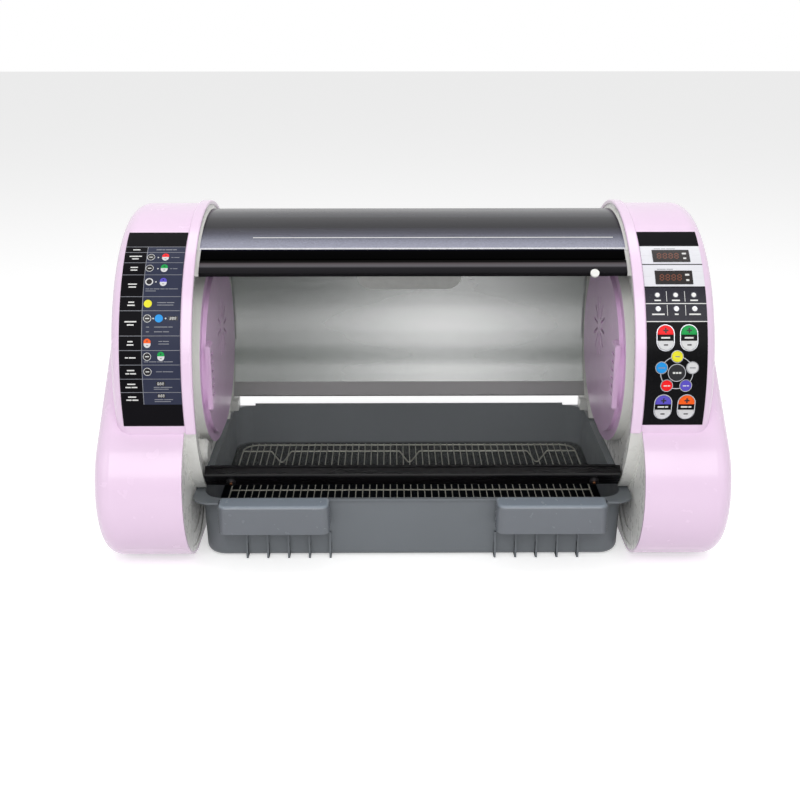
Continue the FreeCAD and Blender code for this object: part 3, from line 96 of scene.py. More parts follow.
PALE_END = linear(232, 232, 228)


# Finishes


class Graph:
    """A tree of nodes that are added and joined by name."""

    def __init__(self, tree):
        self.tree = tree
        tree.nodes.clear()

    def node(self, kind, **values):
        """A node, with some of its inputs set."""
        node = self.tree.nodes.new(kind)
        for name, value in values.items():
            node.inputs[name.replace("_", " ")].default_value = value
        return node

    def join(self, source, out, target, into):
        self.tree.links.new(source.outputs[out], target.inputs[into])

    def reckon(self, operation, first, second=0.0):
        """A sum of two values, each a number or another node's outlet."""
        node = self.node("ShaderNodeMath")
        node.operation = operation
        self.feed(node.inputs, (first, second))
        return node.outputs[0]

    def feed(self, inlets, values):
        """Gives each inlet a plain value or another node's outlet."""
        for inlet, value in zip(inlets, values):
            if isinstance(value, (int, float, tuple)):
                inlet.default_value = value
            else:
                self.tree.links.new(value, inlet)


class Finish(Graph):
    """A material with a surface shader and the pattern nodes that feed it."""

    def __init__(self, name):
        self.material = bpy.data.materials.new(name)
        self.material.use_nodes = True
        super().__init__(self.material.node_tree)
        self.shader = self.node("ShaderNodeBsdfPrincipled")
        self.join(self.shader, "BSDF", self.node("ShaderNodeOutputMaterial"), "Surface")
        self.place = self.node("ShaderNodeTexCoord")

    def pattern(self, size, detail=3.0, stretch=EVEN):
        """Soft noise whose patches are about that many millimetres across."""
        turn = self.node("ShaderNodeMapping", Scale=stretch)
        noise = self.node("ShaderNodeTexNoise", Scale=1.0 / (size * MM), Detail=detail)
        self.join(self.place, "Object", turn, "Vector")
        self.join(turn, "Vector", noise, "Vector")
        return noise

    def blend(self, factor, first, second):
        """A colour that runs between two with a pattern."""
        spread = self.node("ShaderNodeMapRange", From_Min=0.35, From_Max=0.65)
        self.join(factor, 0, spread, "Value")
        return self.mixed(spread.outputs["Result"], first, second)

    def mottled(self, colour, shade, size, detail=3.0, stretch=EVEN):
        """A colour with soft patches in which its light is cut to a share."""
        return self.blend(self.pattern(size, detail, stretch), colour, dimmed(colour, shade))

    def set(self, **values):
        """Sets some of the shader's inputs."""
        self.feed([self.shader.inputs[name.replace("_", " ")] for name in values],
                  values.values())

    def drive(self, outlet, inlet):
        """Lets a value or colour set one of the shader's own."""
        self.tree.links.new(outlet, self.shader.inputs[inlet])

    def spot(self):
        """The three coordinates of each point, in millimetres."""
        split = self.node("ShaderNodeSeparateXYZ")
        self.join(self.place, "Object", split, "Vector")
        return [self.reckon("DIVIDE", split.outputs[axis], MM) for axis in "XYZ"]

    def climb(self):
        """How far round the drum each point lies, in degrees up from its front."""
        x, y, z = self.spot()
        turn = self.reckon("ARCTAN2", self.reckon("SUBTRACT", z, DRUM_Z),
                           self.reckon("SUBTRACT", DRUM_Y, y))
        return self.reckon("MULTIPLY", turn, math.degrees(1.0))

    def reach(self):
        """How far each point lies from the drum's axis, in millimetres."""
        x, y, z = self.spot()
        ahead = self.reckon("SUBTRACT", y, DRUM_Y)
        above = self.reckon("SUBTRACT", z, DRUM_Z)
        both = self.reckon("ADD", self.reckon("MULTIPLY", ahead, ahead),
                           self.reckon("MULTIPLY", above, above))
        return self.reckon("SQRT", both)

    def facing(self):
        """Which way the skin looks at each point, along x, y and z."""
        split = self.node("ShaderNodeSeparateXYZ")
        self.join(self.node("ShaderNodeNewGeometry"), "Normal", split, "Vector")
        return [split.outputs[axis] for axis in "XYZ"]

    def grade(self, value, low, high):
        """Nought up to one value, one from another on, and smooth between."""
        spread = self.node("ShaderNodeMapRange", From_Min=low, From_Max=high)
        spread.interpolation_type = "SMOOTHSTEP"
        self.tree.links.new(value, spread.inputs["Value"])
        return spread.outputs["Result"]

    def pale_ends(self, inner, reach, pale):
        """Paints a colour up to a distance from the middle, and a pale one beyond."""
        end = self.grade(self.reckon("ABSOLUTE", self.spot()[0]), reach, reach + EDGE_SOFT)
        self.drive(self.mixed(end, inner, pale), "Base Color")

    def along(self, value, low, run):
        """How far a value has come along a run, as a share of it."""
        return self.reckon("DIVIDE", self.reckon("SUBTRACT", value, low), run)

    def bands(self, value, stops):
        """Colours that follow one another along a value, from the lowest stop to the highest."""
        low = stops[0][0]
        run = stops[-1][0] - low
        ramp = self.node("ShaderNodeValToRGB")
        line = ramp.color_ramp
        line.elements[0].color = linear(*stops[0][1])
        line.elements[1].color = linear(*stops[-1][1])
        for place, colour in stops[1:-1]:
            line.elements.new((place - low) / run).color = linear(*colour)
        self.tree.links.new(self.along(value, low, run), ramp.inputs[0])
        return ramp.outputs["Color"]

    def levels(self, value, stops):
        """Shares of one that follow one another along a value, from the lowest stop up."""
        curve = self.node("ShaderNodeFloatCurve")
        low = stops[0][0]
        run = stops[-1][0] - low
        points = curve.mapping.curves[0].points
        points[0].location = (0.0, stops[0][1])
        points[1].location = (1.0, stops[-1][1])
        for place, level in stops[1:-1]:
            points.new((place - low) / run, level)
        curve.mapping.update()
        self.tree.links.new(self.along(value, low, run), curve.inputs["Value"])
        return curve.outputs["Value"]

    def mixed(self, factor, first, second, kind="MIX"):
        """Two colours mixed, each a colour or another node's outlet."""
        mix = self.node("ShaderNodeMix")
        mix.data_type = "RGBA"
        mix.blend_type = kind
        self.feed((mix.inputs[0], mix.inputs[6], mix.inputs[7]), (factor, first, second))
        return mix.outputs[2]

    def roughness(self, factor, low, high):
        """A roughness that runs between two values with a pattern."""
        spread = self.node("ShaderNodeMapRange", From_Min=0.3, From_Max=0.7, To_Min=low,
                           To_Max=high)
        self.join(factor, 0, spread, "Value")
        self.join(spread, "Result", self.shader, "Roughness")

    def bump(self, factor, depth):
        """Relief of that many millimetres from a pattern."""
        relief = self.node("ShaderNodeBump", Distance=depth * MM, Strength=1.0)
        self.join(factor, 0, relief, "Height")
        self.join(relief, "Normal", self.shader, "Normal")


def moulded(name, colour, shade=0.93, rough=(0.25, 0.35), mottle=60.0, grain=1.2, relief=0.005,
            stretch=EVEN, specular=0.5, coat=0.0, metal=0.0):
    """Plastic, paint, rubber or metal with a faint mottle, uneven gloss and a fine grain."""
    finish = Finish(name)
    finish.drive(finish.mottled(linear(*colour), shade, mottle, stretch=stretch), "Base Color")
    finish.roughness(finish.pattern(mottle / 6, 4.0, stretch), *rough)
    if relief:
        finish.bump(finish.pattern(grain, 2.0, stretch), relief)
    finish.set(Specular_IOR_Level=specular, Coat_Weight=coat, Coat_Roughness=0.08,
               Metallic=metal)
    return finish.material


def door_sheet():
    """The door: thin and clear seen square on, denser and glossier seen along its face."""
    finish = Finish("door_sheet")
    finish.drive(finish.mottled(linear(225, 230, 228), 0.95, 70.0, 2.0, DRAWN), "Base Color")
    finish.roughness(finish.pattern(25.0, 3.0, DRAWN), 0.03, 0.06)
    finish.bump(finish.pattern(180.0, 1.0, DRAWN), 0.04)
    slant = finish.node("ShaderNodeLayerWeight", Blend=0.5)
    steep = finish.reckon("POWER", slant.outputs["Facing"], 5.0)
    density = finish.node("ShaderNodeMapRange", To_Min=0.02, To_Max=0.4)
    finish.tree.links.new(steep, density.inputs["Value"])
    finish.drive(density.outputs["Result"], "Alpha")
    return finish.material


def smoked_cover():
    """The top cover: dark, grainy over the top, with a painted reflection that fades paler down to
    a painted highlight along its front edge.
    """
    finish = Finish("smoked_cover")
    dark = (26, 25, 32)
    grainy = (50, 50, 57)
    # The pale stops from 57.4 to 72 degrees are painted light: a painted highlight on the front
    # edge and a painted reflection fading up from it. The dark and grainy stops are the cover's
    # own film.
    bands = finish.bands(finish.climb(), (
        (57.4, (235, 235, 240)), (59.0, (235, 235, 240)), (59.3, (150, 152, 170)),
        (62.0, (138, 140, 158)), (64.5, (112, 114, 130)), (67.5, (76, 76, 90)), (72.0, dark),
        (80.7, dark), (81.2, grainy), (98.8, grainy), (99.3, dark), (122.0, dark)))
    speckle = finish.blend(finish.pattern(1.4, 2.0), (1.0, 1.0, 1.0, 1.0), (0.7, 0.7, 0.7, 1.0))
    inner = finish.mixed(1.0, bands, speckle, "MULTIPLY")
    finish.pale_ends(inner, COVER_SEEN, PALE_END)
    finish.roughness(finish.pattern(30.0, 3.0, (0.1, 1.0, 1.0)), 0.2, 0.28)
    finish.set(Specular_IOR_Level=0.26)
    return finish.material


def stepped_rail():
    """The rail over the door: a black upper step, and a lower one with a painted highlight along
    it.
    """
    finish = Finish("stepped_rail")
    # Painted highlight: the stops from 48.4 to 50.2 degrees draw a light line along the lower
    # step, which grows lighter toward it. The other stops are the rail's own black.
    bands = finish.bands(finish.climb(), (
        (45.5, (30, 29, 31)), (48.4, (42, 41, 44)), (49.2, (98, 96, 100)), (50.2, (88, 82, 85)),
        (50.9, (18, 18, 17)), (52.2, (24, 23, 22)), (52.6, (3, 3, 3)), (56.6, (5, 5, 6)),
        (57.6, (34, 34, 52))))
    streak = finish.blend(finish.pattern(40.0, 3.0, (0.03, 1.0, 1.0)), (1.0, 1.0, 1.0, 1.0),
                          (0.8, 0.79, 0.79, 1.0))
    inner = finish.mixed(1.0, bands, streak, "MULTIPLY")
    finish.pale_ends(inner, RAIL_SEEN, PALE_END)
    finish.roughness(finish.pattern(30.0, 3.0, (0.1, 1.0, 1.0)), 0.42, 0.55)
    finish.set(Specular_IOR_Level=0.004)
    return finish.material


def rear_sheet():
    """The rear window: a clear sheet with painted reflections in soft level bands, and painted
    shade that makes it denser toward both ends.
    """
    finish = Finish("rear_sheet")
    x, y, z = finish.spot()
    # Painted reflections: the sheet is thinner, so paler, in some level bands, and denser, so
    # darker, in others.
    density = finish.levels(z, (
        (120.0, 0.3), (150.0, 0.28), (163.0, 0.26), (174.0, 0.36), (184.0, 0.42), (194.0, 0.38),
        (204.0, 0.3), (216.0, 0.27), (240.0, 0.22), (256.0, 0.26), (278.0, 0.36), (300.0, 0.42),
        (340.0, 0.44)))
    streak = finish.pattern(16.0, 2.0, (0.02, 1.0, 1.0)).outputs[0]
    density = finish.reckon("ADD", density, finish.reckon("MULTIPLY", streak, 0.06))
    # Painted shade: the sheet grows denser, so darker, away from the middle of the painted light
    # toward both ends.
    off = finish.reckon("ABSOLUTE", finish.reckon("SUBTRACT", x, REAR_PAINTED_LIGHT_X))
    ends = finish.reckon("MULTIPLY", finish.grade(off, 0.0, 330.0), 0.34)
    finish.drive(finish.reckon("MINIMUM", finish.reckon("ADD", density, ends), 0.96), "Alpha")
    tint = linear(158, 168, 161)
    finish.drive(finish.mottled(tint, 0.9, 80.0, 2.0, DRAWN), "Base Color")
    finish.roughness(finish.pattern(25.0, 3.0, DRAWN), 0.3, 0.45)
    finish.set(Specular_IOR_Level=0.2)
    return finish.material


def tray_moulding():
    """The tray: satin grey, near-black and less glossy on its floor and the low inside of its
    walls.
    """
    finish = Finish("tray_moulding")
    grey = linear(113, 118, 123)
    walls = finish.mottled(grey, 0.95, 120.0)
    floor = finish.blend(finish.pattern(60.0), linear(14, 17, 20), linear(20, 23, 27))
    x, y, z = finish.spot()
    side, ahead, up = finish.facing()
    inward = finish.reckon("ADD", finish.reckon("MULTIPLY", side, x), finish.reckon(
        "MULTIPLY", ahead, finish.reckon("SUBTRACT", y, DRUM_Y)))
    wall = finish.grade(finish.reckon("MULTIPLY", inward, -1.0), 10.0, 60.0)
    level = finish.reckon("MAXIMUM", finish.grade(up, 0.3, 0.7), wall)
    sunk = finish.reckon("SUBTRACT", 1.0, finish.grade(z, TRAY_DARK - 3.0, TRAY_DARK + 3.0))
    inside = finish.reckon("MULTIPLY", level, sunk)
    finish.drive(finish.mixed(inside, walls, floor), "Base Color")
    finish.drive(finish.reckon("SUBTRACT", 0.4, finish.reckon("MULTIPLY", inside, 0.4)),
                 "Specular IOR Level")
    finish.roughness(finish.pattern(20.0, 4.0), 0.3, 0.4)
    finish.bump(finish.pattern(0.9, 2.0), 0.004)
    return finish.material


def handle_moulding():
    """The tray's handles: glossy grey, with painted light on their tops."""
    finish = Finish("handle_moulding")
    grey = linear(108, 113, 120)
    side = finish.mottled(grey, 0.95, 60.0)
    # Painted light: faces that look up are painted paler than the sides, where the overhead light
    # falls.
    top = finish.grade(finish.facing()[2], 0.3, 0.95)
    finish.drive(finish.mixed(top, side, linear(146, 156, 167)), "Base Color")
    finish.roughness(finish.pattern(10.0, 4.0), 0.2, 0.28)
    finish.set(Specular_IOR_Level=0.6)
    return finish.material


def chamber_plate():
    """The pink plate in each end of the drum, white on its skirt like the wall round it."""
    finish = Finish("chamber_plate")
    face = finish.mottled(linear(232, 192, 232), 0.93, 60.0)
    finish.pale_ends(face, PLATE_SKIRT, linear(236, 236, 232))
    finish.roughness(finish.pattern(10.0, 4.0), 0.28, 0.4)
    finish.bump(finish.pattern(1.1, 2.0), 0.004)
    return finish.material


def door_knob():
    """A door knob: black grip, brass end."""
    finish = Finish("door_knob")
    tip = finish.grade(finish.reach(), KNOB_TIP_REACH, KNOB_TIP_REACH + 0.2)
    grip = finish.blend(finish.pattern(6.0), linear(30, 29, 31), linear(22, 21, 23))
    finish.drive(finish.mixed(tip, grip, linear(196, 132, 92)), "Base Color")
    finish.drive(tip, "Metallic")
    finish.roughness(finish.pattern(2.0, 4.0), 0.26, 0.38)
    return finish.material


def glowing(name, colour, light, strength, rough=0.3):
    """A lens or lamp face that also gives a little light of its own."""
    finish = Finish(name)
    finish.drive(finish.mottled(linear(*colour), 0.9, 8.0), "Base Color")
    finish.roughness(finish.pattern(3.0), rough - 0.05, rough + 0.08)
    finish.bump(finish.pattern(0.8), 0.01)
    finish.set(Emission_Color=linear(*light), Emission_Strength=strength)
    return finish.material


def key_finish(name, colour):
    """Soft key rubber under a thin clear coat."""
    return moulded(name, colour, 0.95, (0.32, 0.44), 6.0, 0.5, 0.0005, specular=0.25)


def print_finish(name, colour, rough=(0.22, 0.32), specular=0.35):
    """Ink behind the overlay's smooth face."""
    return moulded(name, colour, 0.95, rough, 40.0, 0.7, 0.0015, specular=specular)


SHELL = moulded("pink_shell", (243, 216, 242), 0.975, (0.2, 0.28), 160.0, 1.6, 0.0,
                coat=0.3)
FRAME = moulded("white_frame", (236, 236, 232), 0.975, (0.24, 0.34), 90.0, 1.4, 0.0)
PLATE = chamber_plate()
TRAY = tray_moulding()
HANDLE = handle_moulding()
COVER = smoked_cover()
BACK = rear_sheet()
TOP_RAIL = stepped_rail()
DOOR = door_sheet()
RAIL_BLACK = moulded("black_rail", (13, 12, 14), 0.8, (0.24, 0.34), 50.0, 0.9, 0.003,
                     (0.08, 1.0, 1.0), specular=0.22)
RAIL_GREY = moulded("grey_rail", (168, 166, 167), 0.94, (0.3, 0.4), 60.0, 0.9, 0.003,
                    (0.08, 1.0, 1.0))
RUNNER = moulded("nylon_runner", (222, 224, 226), 0.96, (0.35, 0.5), 30.0, 0.8, 0.005)
KNOB = door_knob()
DIFFUSER = glowing("lamp_diffuser", (206, 211, 206), (250, 250, 245), 0.12, 0.4)
BOARD = moulded("circuit_board", (28, 88, 52), 0.8, (0.35, 0.5), 14.0, 0.8, 0.0075)
WIRE = moulded("bright_wire", (172, 171, 158), 0.9, (0.25, 0.38), 12.0, 0.6, 0.005, metal=0.3)
KEYPAD = print_finish("keypad_black", (9, 9, 12), (0.2, 0.3), 0.07)
HEADER = print_finish("header_black", (16, 15, 19), (0.35, 0.45), 0.03)
ZONE = print_finish("lamp_zone_grey", (44, 43, 52), (0.2, 0.3), 0.15)
SILVER = moulded("keypad_silver", (226, 226, 232), 0.96, (0.25, 0.36), 20.0, 0.5, 0.002,
                 (0.1, 1.0, 1.0), specular=0.5)
INK_WHITE = print_finish("white_ink", (228, 228, 226))
INK_GREY = print_finish("grey_ink", (136, 138, 146))
INK_DARK = print_finish("dark_ink", (24, 22, 26))
CHART = print_finish("chart_black", (16, 15, 19), (0.35, 0.45), 0.04)
SLATE = print_finish("chart_slate", (50, 54, 74), (0.3, 0.4), 0.1)
SCREEN = moulded("screen_window", (34, 26, 26), 0.8, (0.1, 0.16), 20.0, 0.8, 0.001,
                 specular=0.4)
SEGMENT = glowing("dim_segments", (104, 54, 34), (130, 66, 40), 0.08)
LENS = glowing("lamp_lens", (226, 224, 220), (235, 235, 230), 0.15, 0.2)
BEZEL = moulded("bright_bezel", (205, 206, 212), 0.9, (0.18, 0.28), 6.0, 0.5, 0.0025, metal=0.6)
RED, GREEN, YELLOW, BLUE, VIOLET, ORANGE, WHITE, CENTRE = [
    key_finish(f"{name}_key_rubber", colour) for name, colour in (
        ("red", (250, 22, 30)), ("green", (0, 158, 72)), ("yellow", (238, 230, 48)),
        ("blue", (30, 152, 232)), ("violet", (92, 80, 196)), ("orange", (255, 96, 10)),
        ("white", (218, 218, 220)), ("centre", (34, 34, 38)))]
RUBBER = moulded("foot_rubber", (36, 36, 38), 0.85, (0.6, 0.75), 12.0, 0.8, 0.0125, specular=0.3)
FITTING = moulded("fitting_black", (34, 34, 37), 0.88, (0.4, 0.52), 14.0, 0.7, 0.0075)
ROCKER = moulded("rocker_black", (26, 26, 29), 0.88, (0.22, 0.32), 10.0, 0.6, 0.0025)
TANK = moulded("tank_white", (218, 222, 222), 0.95, (0.4, 0.5), 40.0, 1.0, 0.0075)
CAP_BLUE = moulded("cap_blue", (66, 118, 186), 0.93, (0.3, 0.42), 14.0, 0.8, 0.005)
CAP_GREY = moulded("cap_grey", (148, 150, 156), 0.93, (0.3, 0.42), 14.0, 0.8, 0.005)
SPIGOT = moulded("plated_spigot", (196, 190, 176), 0.88, (0.18, 0.3), 4.0, 0.4, 0.0025, metal=1.0)
FAN = moulded("fan_black", (30, 30, 32), 0.9, (0.42, 0.55), 18.0, 0.8, 0.0075)
BLADE = moulded("fan_blade", (40, 41, 44), 0.9, (0.35, 0.48), 14.0, 0.8, 0.005)
HEATER = moulded("heater_aluminium", (190, 191, 193), 0.9, (0.3, 0.45), 10.0, 0.6, 0.005,
                 (0.1, 1.0, 1.0), metal=1.0)
CASE = moulded("supply_case", (160, 162, 166), 0.9, (0.32, 0.46), 24.0, 0.6, 0.005,
               (0.08, 1.0, 1.0), metal=1.0)

PAIR_FINISH = {"outer_shell": SHELL, "inner_frame": FRAME, "chamber_plate": PLATE,
               "sensor_housing": PLATE, "door_runner": RUNNER, "tray_handle": HANDLE}
KEY_PAIR_FINISH = {"temperature": RED, "humidity": GREEN, "mist": VIOLET, "light": ORANGE}
NODE_FINISH = {
    "chamber_port": FRAME, "top_cover": COVER, "rear_window": BACK, "door_window": DOOR,
    "rear_bottom_rail": RAIL_GREY, "front_top_rail": TOP_RAIL, "rail_plug": FRAME,
    "door_handle_rail": RAIL_BLACK, "door_knobs": KNOB, "lamp_cover": DIFFUSER,
    "lamp_board": BOARD, "tray": TRAY, "wire_rack": WIRE, "keypad_panel": KEYPAD,
    "chart_panel": CHART, "temperature_display": SCREEN, "humidity_display": SCREEN,
    "indicator_lights": LENS, "centre_key": CENTRE, "yellow_key": YELLOW, "white_key": WHITE,
    "violet_key": VIOLET, "red_key": RED, "blue_key": BLUE, "rubber_feet": RUBBER,
    "power_inlet": FITTING, "switch_frame": FITTING, "power_switch": ROCKER,
    "humidifier_tank": TANK, "nebuliser_tank": TANK, "humidifier_cap": CAP_BLUE,
    "nebuliser_cap": CAP_GREY, "oxygen_spigot": SPIGOT, "fan_housing": FAN, "fan_motor": FAN,
    "fan_impeller": BLADE, "heater": HEATER, "control_board": BOARD, "power_supply": CASE,
    **{f"{side}_{name}": finish for name, finish in PAIR_FINISH.items()
       for side in ("left", "right")},
    **{f"{name}_up_key": finish for name, finish in KEY_PAIR_FINISH.items()},
    **{f"{name}_down_key": WHITE for name in KEY_PAIR_FINISH},
}


def dress_nodes():
    """Gives every piece of the frame its finish."""
    for name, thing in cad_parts.items():
        finish = NODE_FINISH[name]
        for place in thing.material_slots:
            place.material = finish


# Flat prints and marks


def round_the_drum(x, arc, lift, radius=PANEL_RADIUS):
    """A place over the pods' front: along the drum, up its curve and off its skin."""
    angle = arc / PANEL_RADIUS
    reach = radius + lift
    return Vector((x, DRUM_Y - reach * math.cos(angle), DRUM_Z + reach * math.sin(angle))) * MM


def on_drum(point):
    """Places a point of a flat outline round the drum."""
    return round_the_drum(point.x, point.y, point.z)


def on_a_flat(x, arc, radius):
    """Places a flat outline on a flat face that touches a circle round the drum."""
    angle = arc / PANEL_RADIUS
    out = Vector((0.0, -math.cos(angle), math.sin(angle)))
    up = Vector((0.0, math.sin(angle), math.cos(angle)))
    middle = Vector((x, DRUM_Y, DRUM_Z)) + out * radius

    def place(point):
        return (middle + Vector((point.x, 0.0, 0.0)) + up * point.y + out * point.z) * MM
    return place


def box_outline(left, low, right, high):
    """A rectangle's corners."""
    return [(left, low), (right, low), (right, high), (left, high)]


def disc_outline(x, y, radius, sides):
    """A round outline."""
    return [(x + radius * math.cos(2 * math.pi * n / sides),
             y + radius * math.sin(2 * math.pi * n / sides)) for n in range(sides)]


def stadium_outline(x, y, width, height, sides=14):
    """A round-ended slot's outline, standing upright."""
    radius = width / 2
    rise = height / 2 - radius
    points = []
    for n in range(sides + 1):
        angle = math.pi * n / sides
        points.append((x + radius * math.cos(angle), y + rise + radius * math.sin(angle)))
    for n in range(sides + 1):
        angle = math.pi + math.pi * n / sides
        points.append((x + radius * math.cos(angle), y - rise + radius * math.sin(angle)))
    return points


def ring_outlines(outer, inner):
    """The quadrilaterals between two outlines with as many points."""
    count = len(outer)
    return [[outer[n], outer[(n + 1) % count], inner[(n + 1) % count], inner[n]]
            for n in range(count)]


def round_rim(x, y, outer, inner, sides):
    """The quadrilaterals of a round rim."""
    return ring_outlines(disc_outline(x, y, outer, sides), disc_outline(x, y, inner, sides))


class Overprint:
    """A thin layer of ink or foil, made of flat outlines laid on the pods or keys."""

    def __init__(self, name, finish, slot, body="cabinet"):
        self.name = name
        self.finish = finish
        self.body = body
        self.slot = slot
        self.mesh = bmesh.new()

    def lay(self, outlines, place, low=-PRINT_SINK, high=PRINT_LIFT, curved=True):
        """Adds outlines, cut into narrow strips where they follow the drum."""
        part = bmesh.new()
        known = {}
        for outline in outlines:
            corners = []
            for x, y in outline:
                key = (round(x, 5), round(y, 5))
                if key not in known:
                    known[key] = part.verts.new((x, y, low))
                corners.append(known[key])
            part.faces.new(corners)
        if curved:
            bottom = min(vertex.co.y for vertex in part.verts)
            top = max(vertex.co.y for vertex in part.verts)
            line = math.floor(bottom / CURVE_STEP) * CURVE_STEP + CURVE_STEP
            while line < top:
                everything = part.verts[:] + part.edges[:] + part.faces[:]
                bmesh.ops.bisect_plane(part, geom=everything, plane_co=(0, line, 0),
                                       plane_no=(0, 1, 0))
                line += CURVE_STEP
        raised = bmesh.ops.extrude_face_region(part, geom=part.faces[:], use_keep_orig=True)
        for item in raised["geom"]:
            if isinstance(item, bmesh.types.BMVert):
                item.co.z = high
        bmesh.ops.recalc_face_normals(part, faces=part.faces[:])
        table = {}
        for vertex in part.verts:
            table[vertex] = self.mesh.verts.new(place(vertex.co))
        for face in part.faces:
            self.mesh.faces.new([table[vertex] for vertex in face.verts])
        part.free()

    def mark(self, outlines, place):
        """Adds outlines that lie over the layers below them."""
        self.lay(outlines, place, high=MARK_LIFT)

    def stamp(self, outlines, place, low=-STAMP_SINK, high=STAMP_LIFT):
        """Adds outlines on a flat face."""
        self.lay(outlines, place, low, high, False)

    def done(self):
        """Turns the layer into a piece that rides on its body."""
        mesh = bpy.data.meshes.new(self.name)
        bmesh.ops.triangulate(self.mesh, faces=self.mesh.faces[:])
        self.mesh.to_mesh(mesh)
        self.mesh.free()
        return finish_piece(self.name, mesh, self.finish, self.body)


def placed(name, data):
    """An object of a mesh, lamp or camera, put in the scene."""
    thing = bpy.data.objects.new(name, data)
    bpy.context.scene.collection.objects.link(thing)
    return thing


def finish_piece(name, mesh, finish, body):
    """Makes an object of a mesh, with its finish and body."""
    piece = placed(name, mesh)
    mesh.materials.clear()
    mesh.materials.append(finish)
    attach(piece, body)
    return piece


def word_bars(left, base, widths, height=1.5, gap=1.2):
    """A line of plain bars, where the real one has a line of words."""
    bars = []
    start = left
    for width in widths:
        bars.append(box_outline(start, base, start + width, base + height))
        start += width + gap
    return bars


def centred_bars(middle, base, widths, height=1.5, gap=1.2):
    """A line of plain bars about a middle."""
    run = sum(widths) + gap * (len(widths) - 1)
    return word_bars(middle - run / 2, base, widths, height, gap)


def plus_outlines(x, y, size, stroke):
    """The upright and the two arms of a plus sign."""
    arm = size / 2
    half = stroke / 2
    return [box_outline(x - half, y - arm, x + half, y + arm),
            box_outline(x - arm, y - half, x - half, y + half),
            box_outline(x + half, y - half, x + arm, y + half)]


def digit_outlines(x, y, width, height, stroke):
    """The seven bars of one digit, leaning a little."""
    lean = 0.08
    gap = stroke * 0.18
    half = stroke / 2

    def flat(middle):
        left = x + half + gap
        right = x + width - half - gap
        return [(left, middle), (left + half, middle - half), (right - half, middle - half),
                (right, middle), (right - half, middle + half), (left + half, middle + half)]

    def upright(side, low, high):
        low += gap
        high -= gap
        return [(side, low), (side + half, low + half), (side + half, high - half),
                (side, high), (side - half, high - half), (side - half, low + half)]

    bottom = y + half
    top = y + height - half
    middle = (bottom + top) / 2
    left = x + half
    right = x + width - half
    bars = [flat(bottom), flat(middle), flat(top), upright(left, bottom, middle),
            upright(left, middle, top), upright(right, bottom, middle),
            upright(right, middle, top)]
    return [[(px + (py - y) * lean, py) for px, py in bar] for bar in bars]


COVER_RADIUS = 216.8
COVER_LINE = (-225.0, 283.0)
COVER_LINE_ANGLE = 65.0
COVER_LINE_HALF = 0.7


def print_cover():
    """A thin pale line along the cover, under the place of the real one's words."""
    arc = math.radians(COVER_LINE_ANGLE) * PANEL_RADIUS
    line = Overprint("cover_line", INK_WHITE, "key_white")
    left, right = COVER_LINE

    def place(point):
        return round_the_drum(point.x, point.y, point.z, COVER_RADIUS)
    line.lay([box_outline(left, arc - COVER_LINE_HALF, right, arc + COVER_LINE_HALF)], place)
    line.done()


# Keypad print

SILVER_HIGH = 226.0
SILVER_SPLIT_HIGH = 194.0
SILVER_SPLIT_LOW = 192.4
SILVER_LOW = 158.4
ZONE_SPLIT = 133.3
ZONE_LOW = 108.2
LAMP_PITCH = 24.8
LAMP_ROWS = (145.7, 126.0)
SCREENS = (207.8, 172.1)
OVAL_COLUMNS = (-15.9, 15.9)
OVAL_ROWS = (86.0, -9.8)
OVAL_WIDTH = 21.6
OVAL_HEIGHT = 33.6
RING_ARC = 38.6
RING_RADIUS = 22.0
ROUND_RADIUS = 7.4
CENTRE_RADIUS = 10.9
RING_HALF = 0.45
RIM_LIFT = 0.35
LOW_RIM_LIFT = 0.3
RING_LIFT = 0.2
RING_STEPS = 8
ROUND_KEYS = {"yellow_key": 90, "white_key": 18, "violet_key": -54, "red_key": -126,
              "blue_key": 162}


def ring_spot(turn, off=0.0):
    """A place on the ring of round keys, some degrees round it and some way off it."""
    angle = math.radians(turn)
    reach = RING_RADIUS + off
    return PANEL_MIDDLE + reach * math.cos(angle), RING_ARC + reach * math.sin(angle)


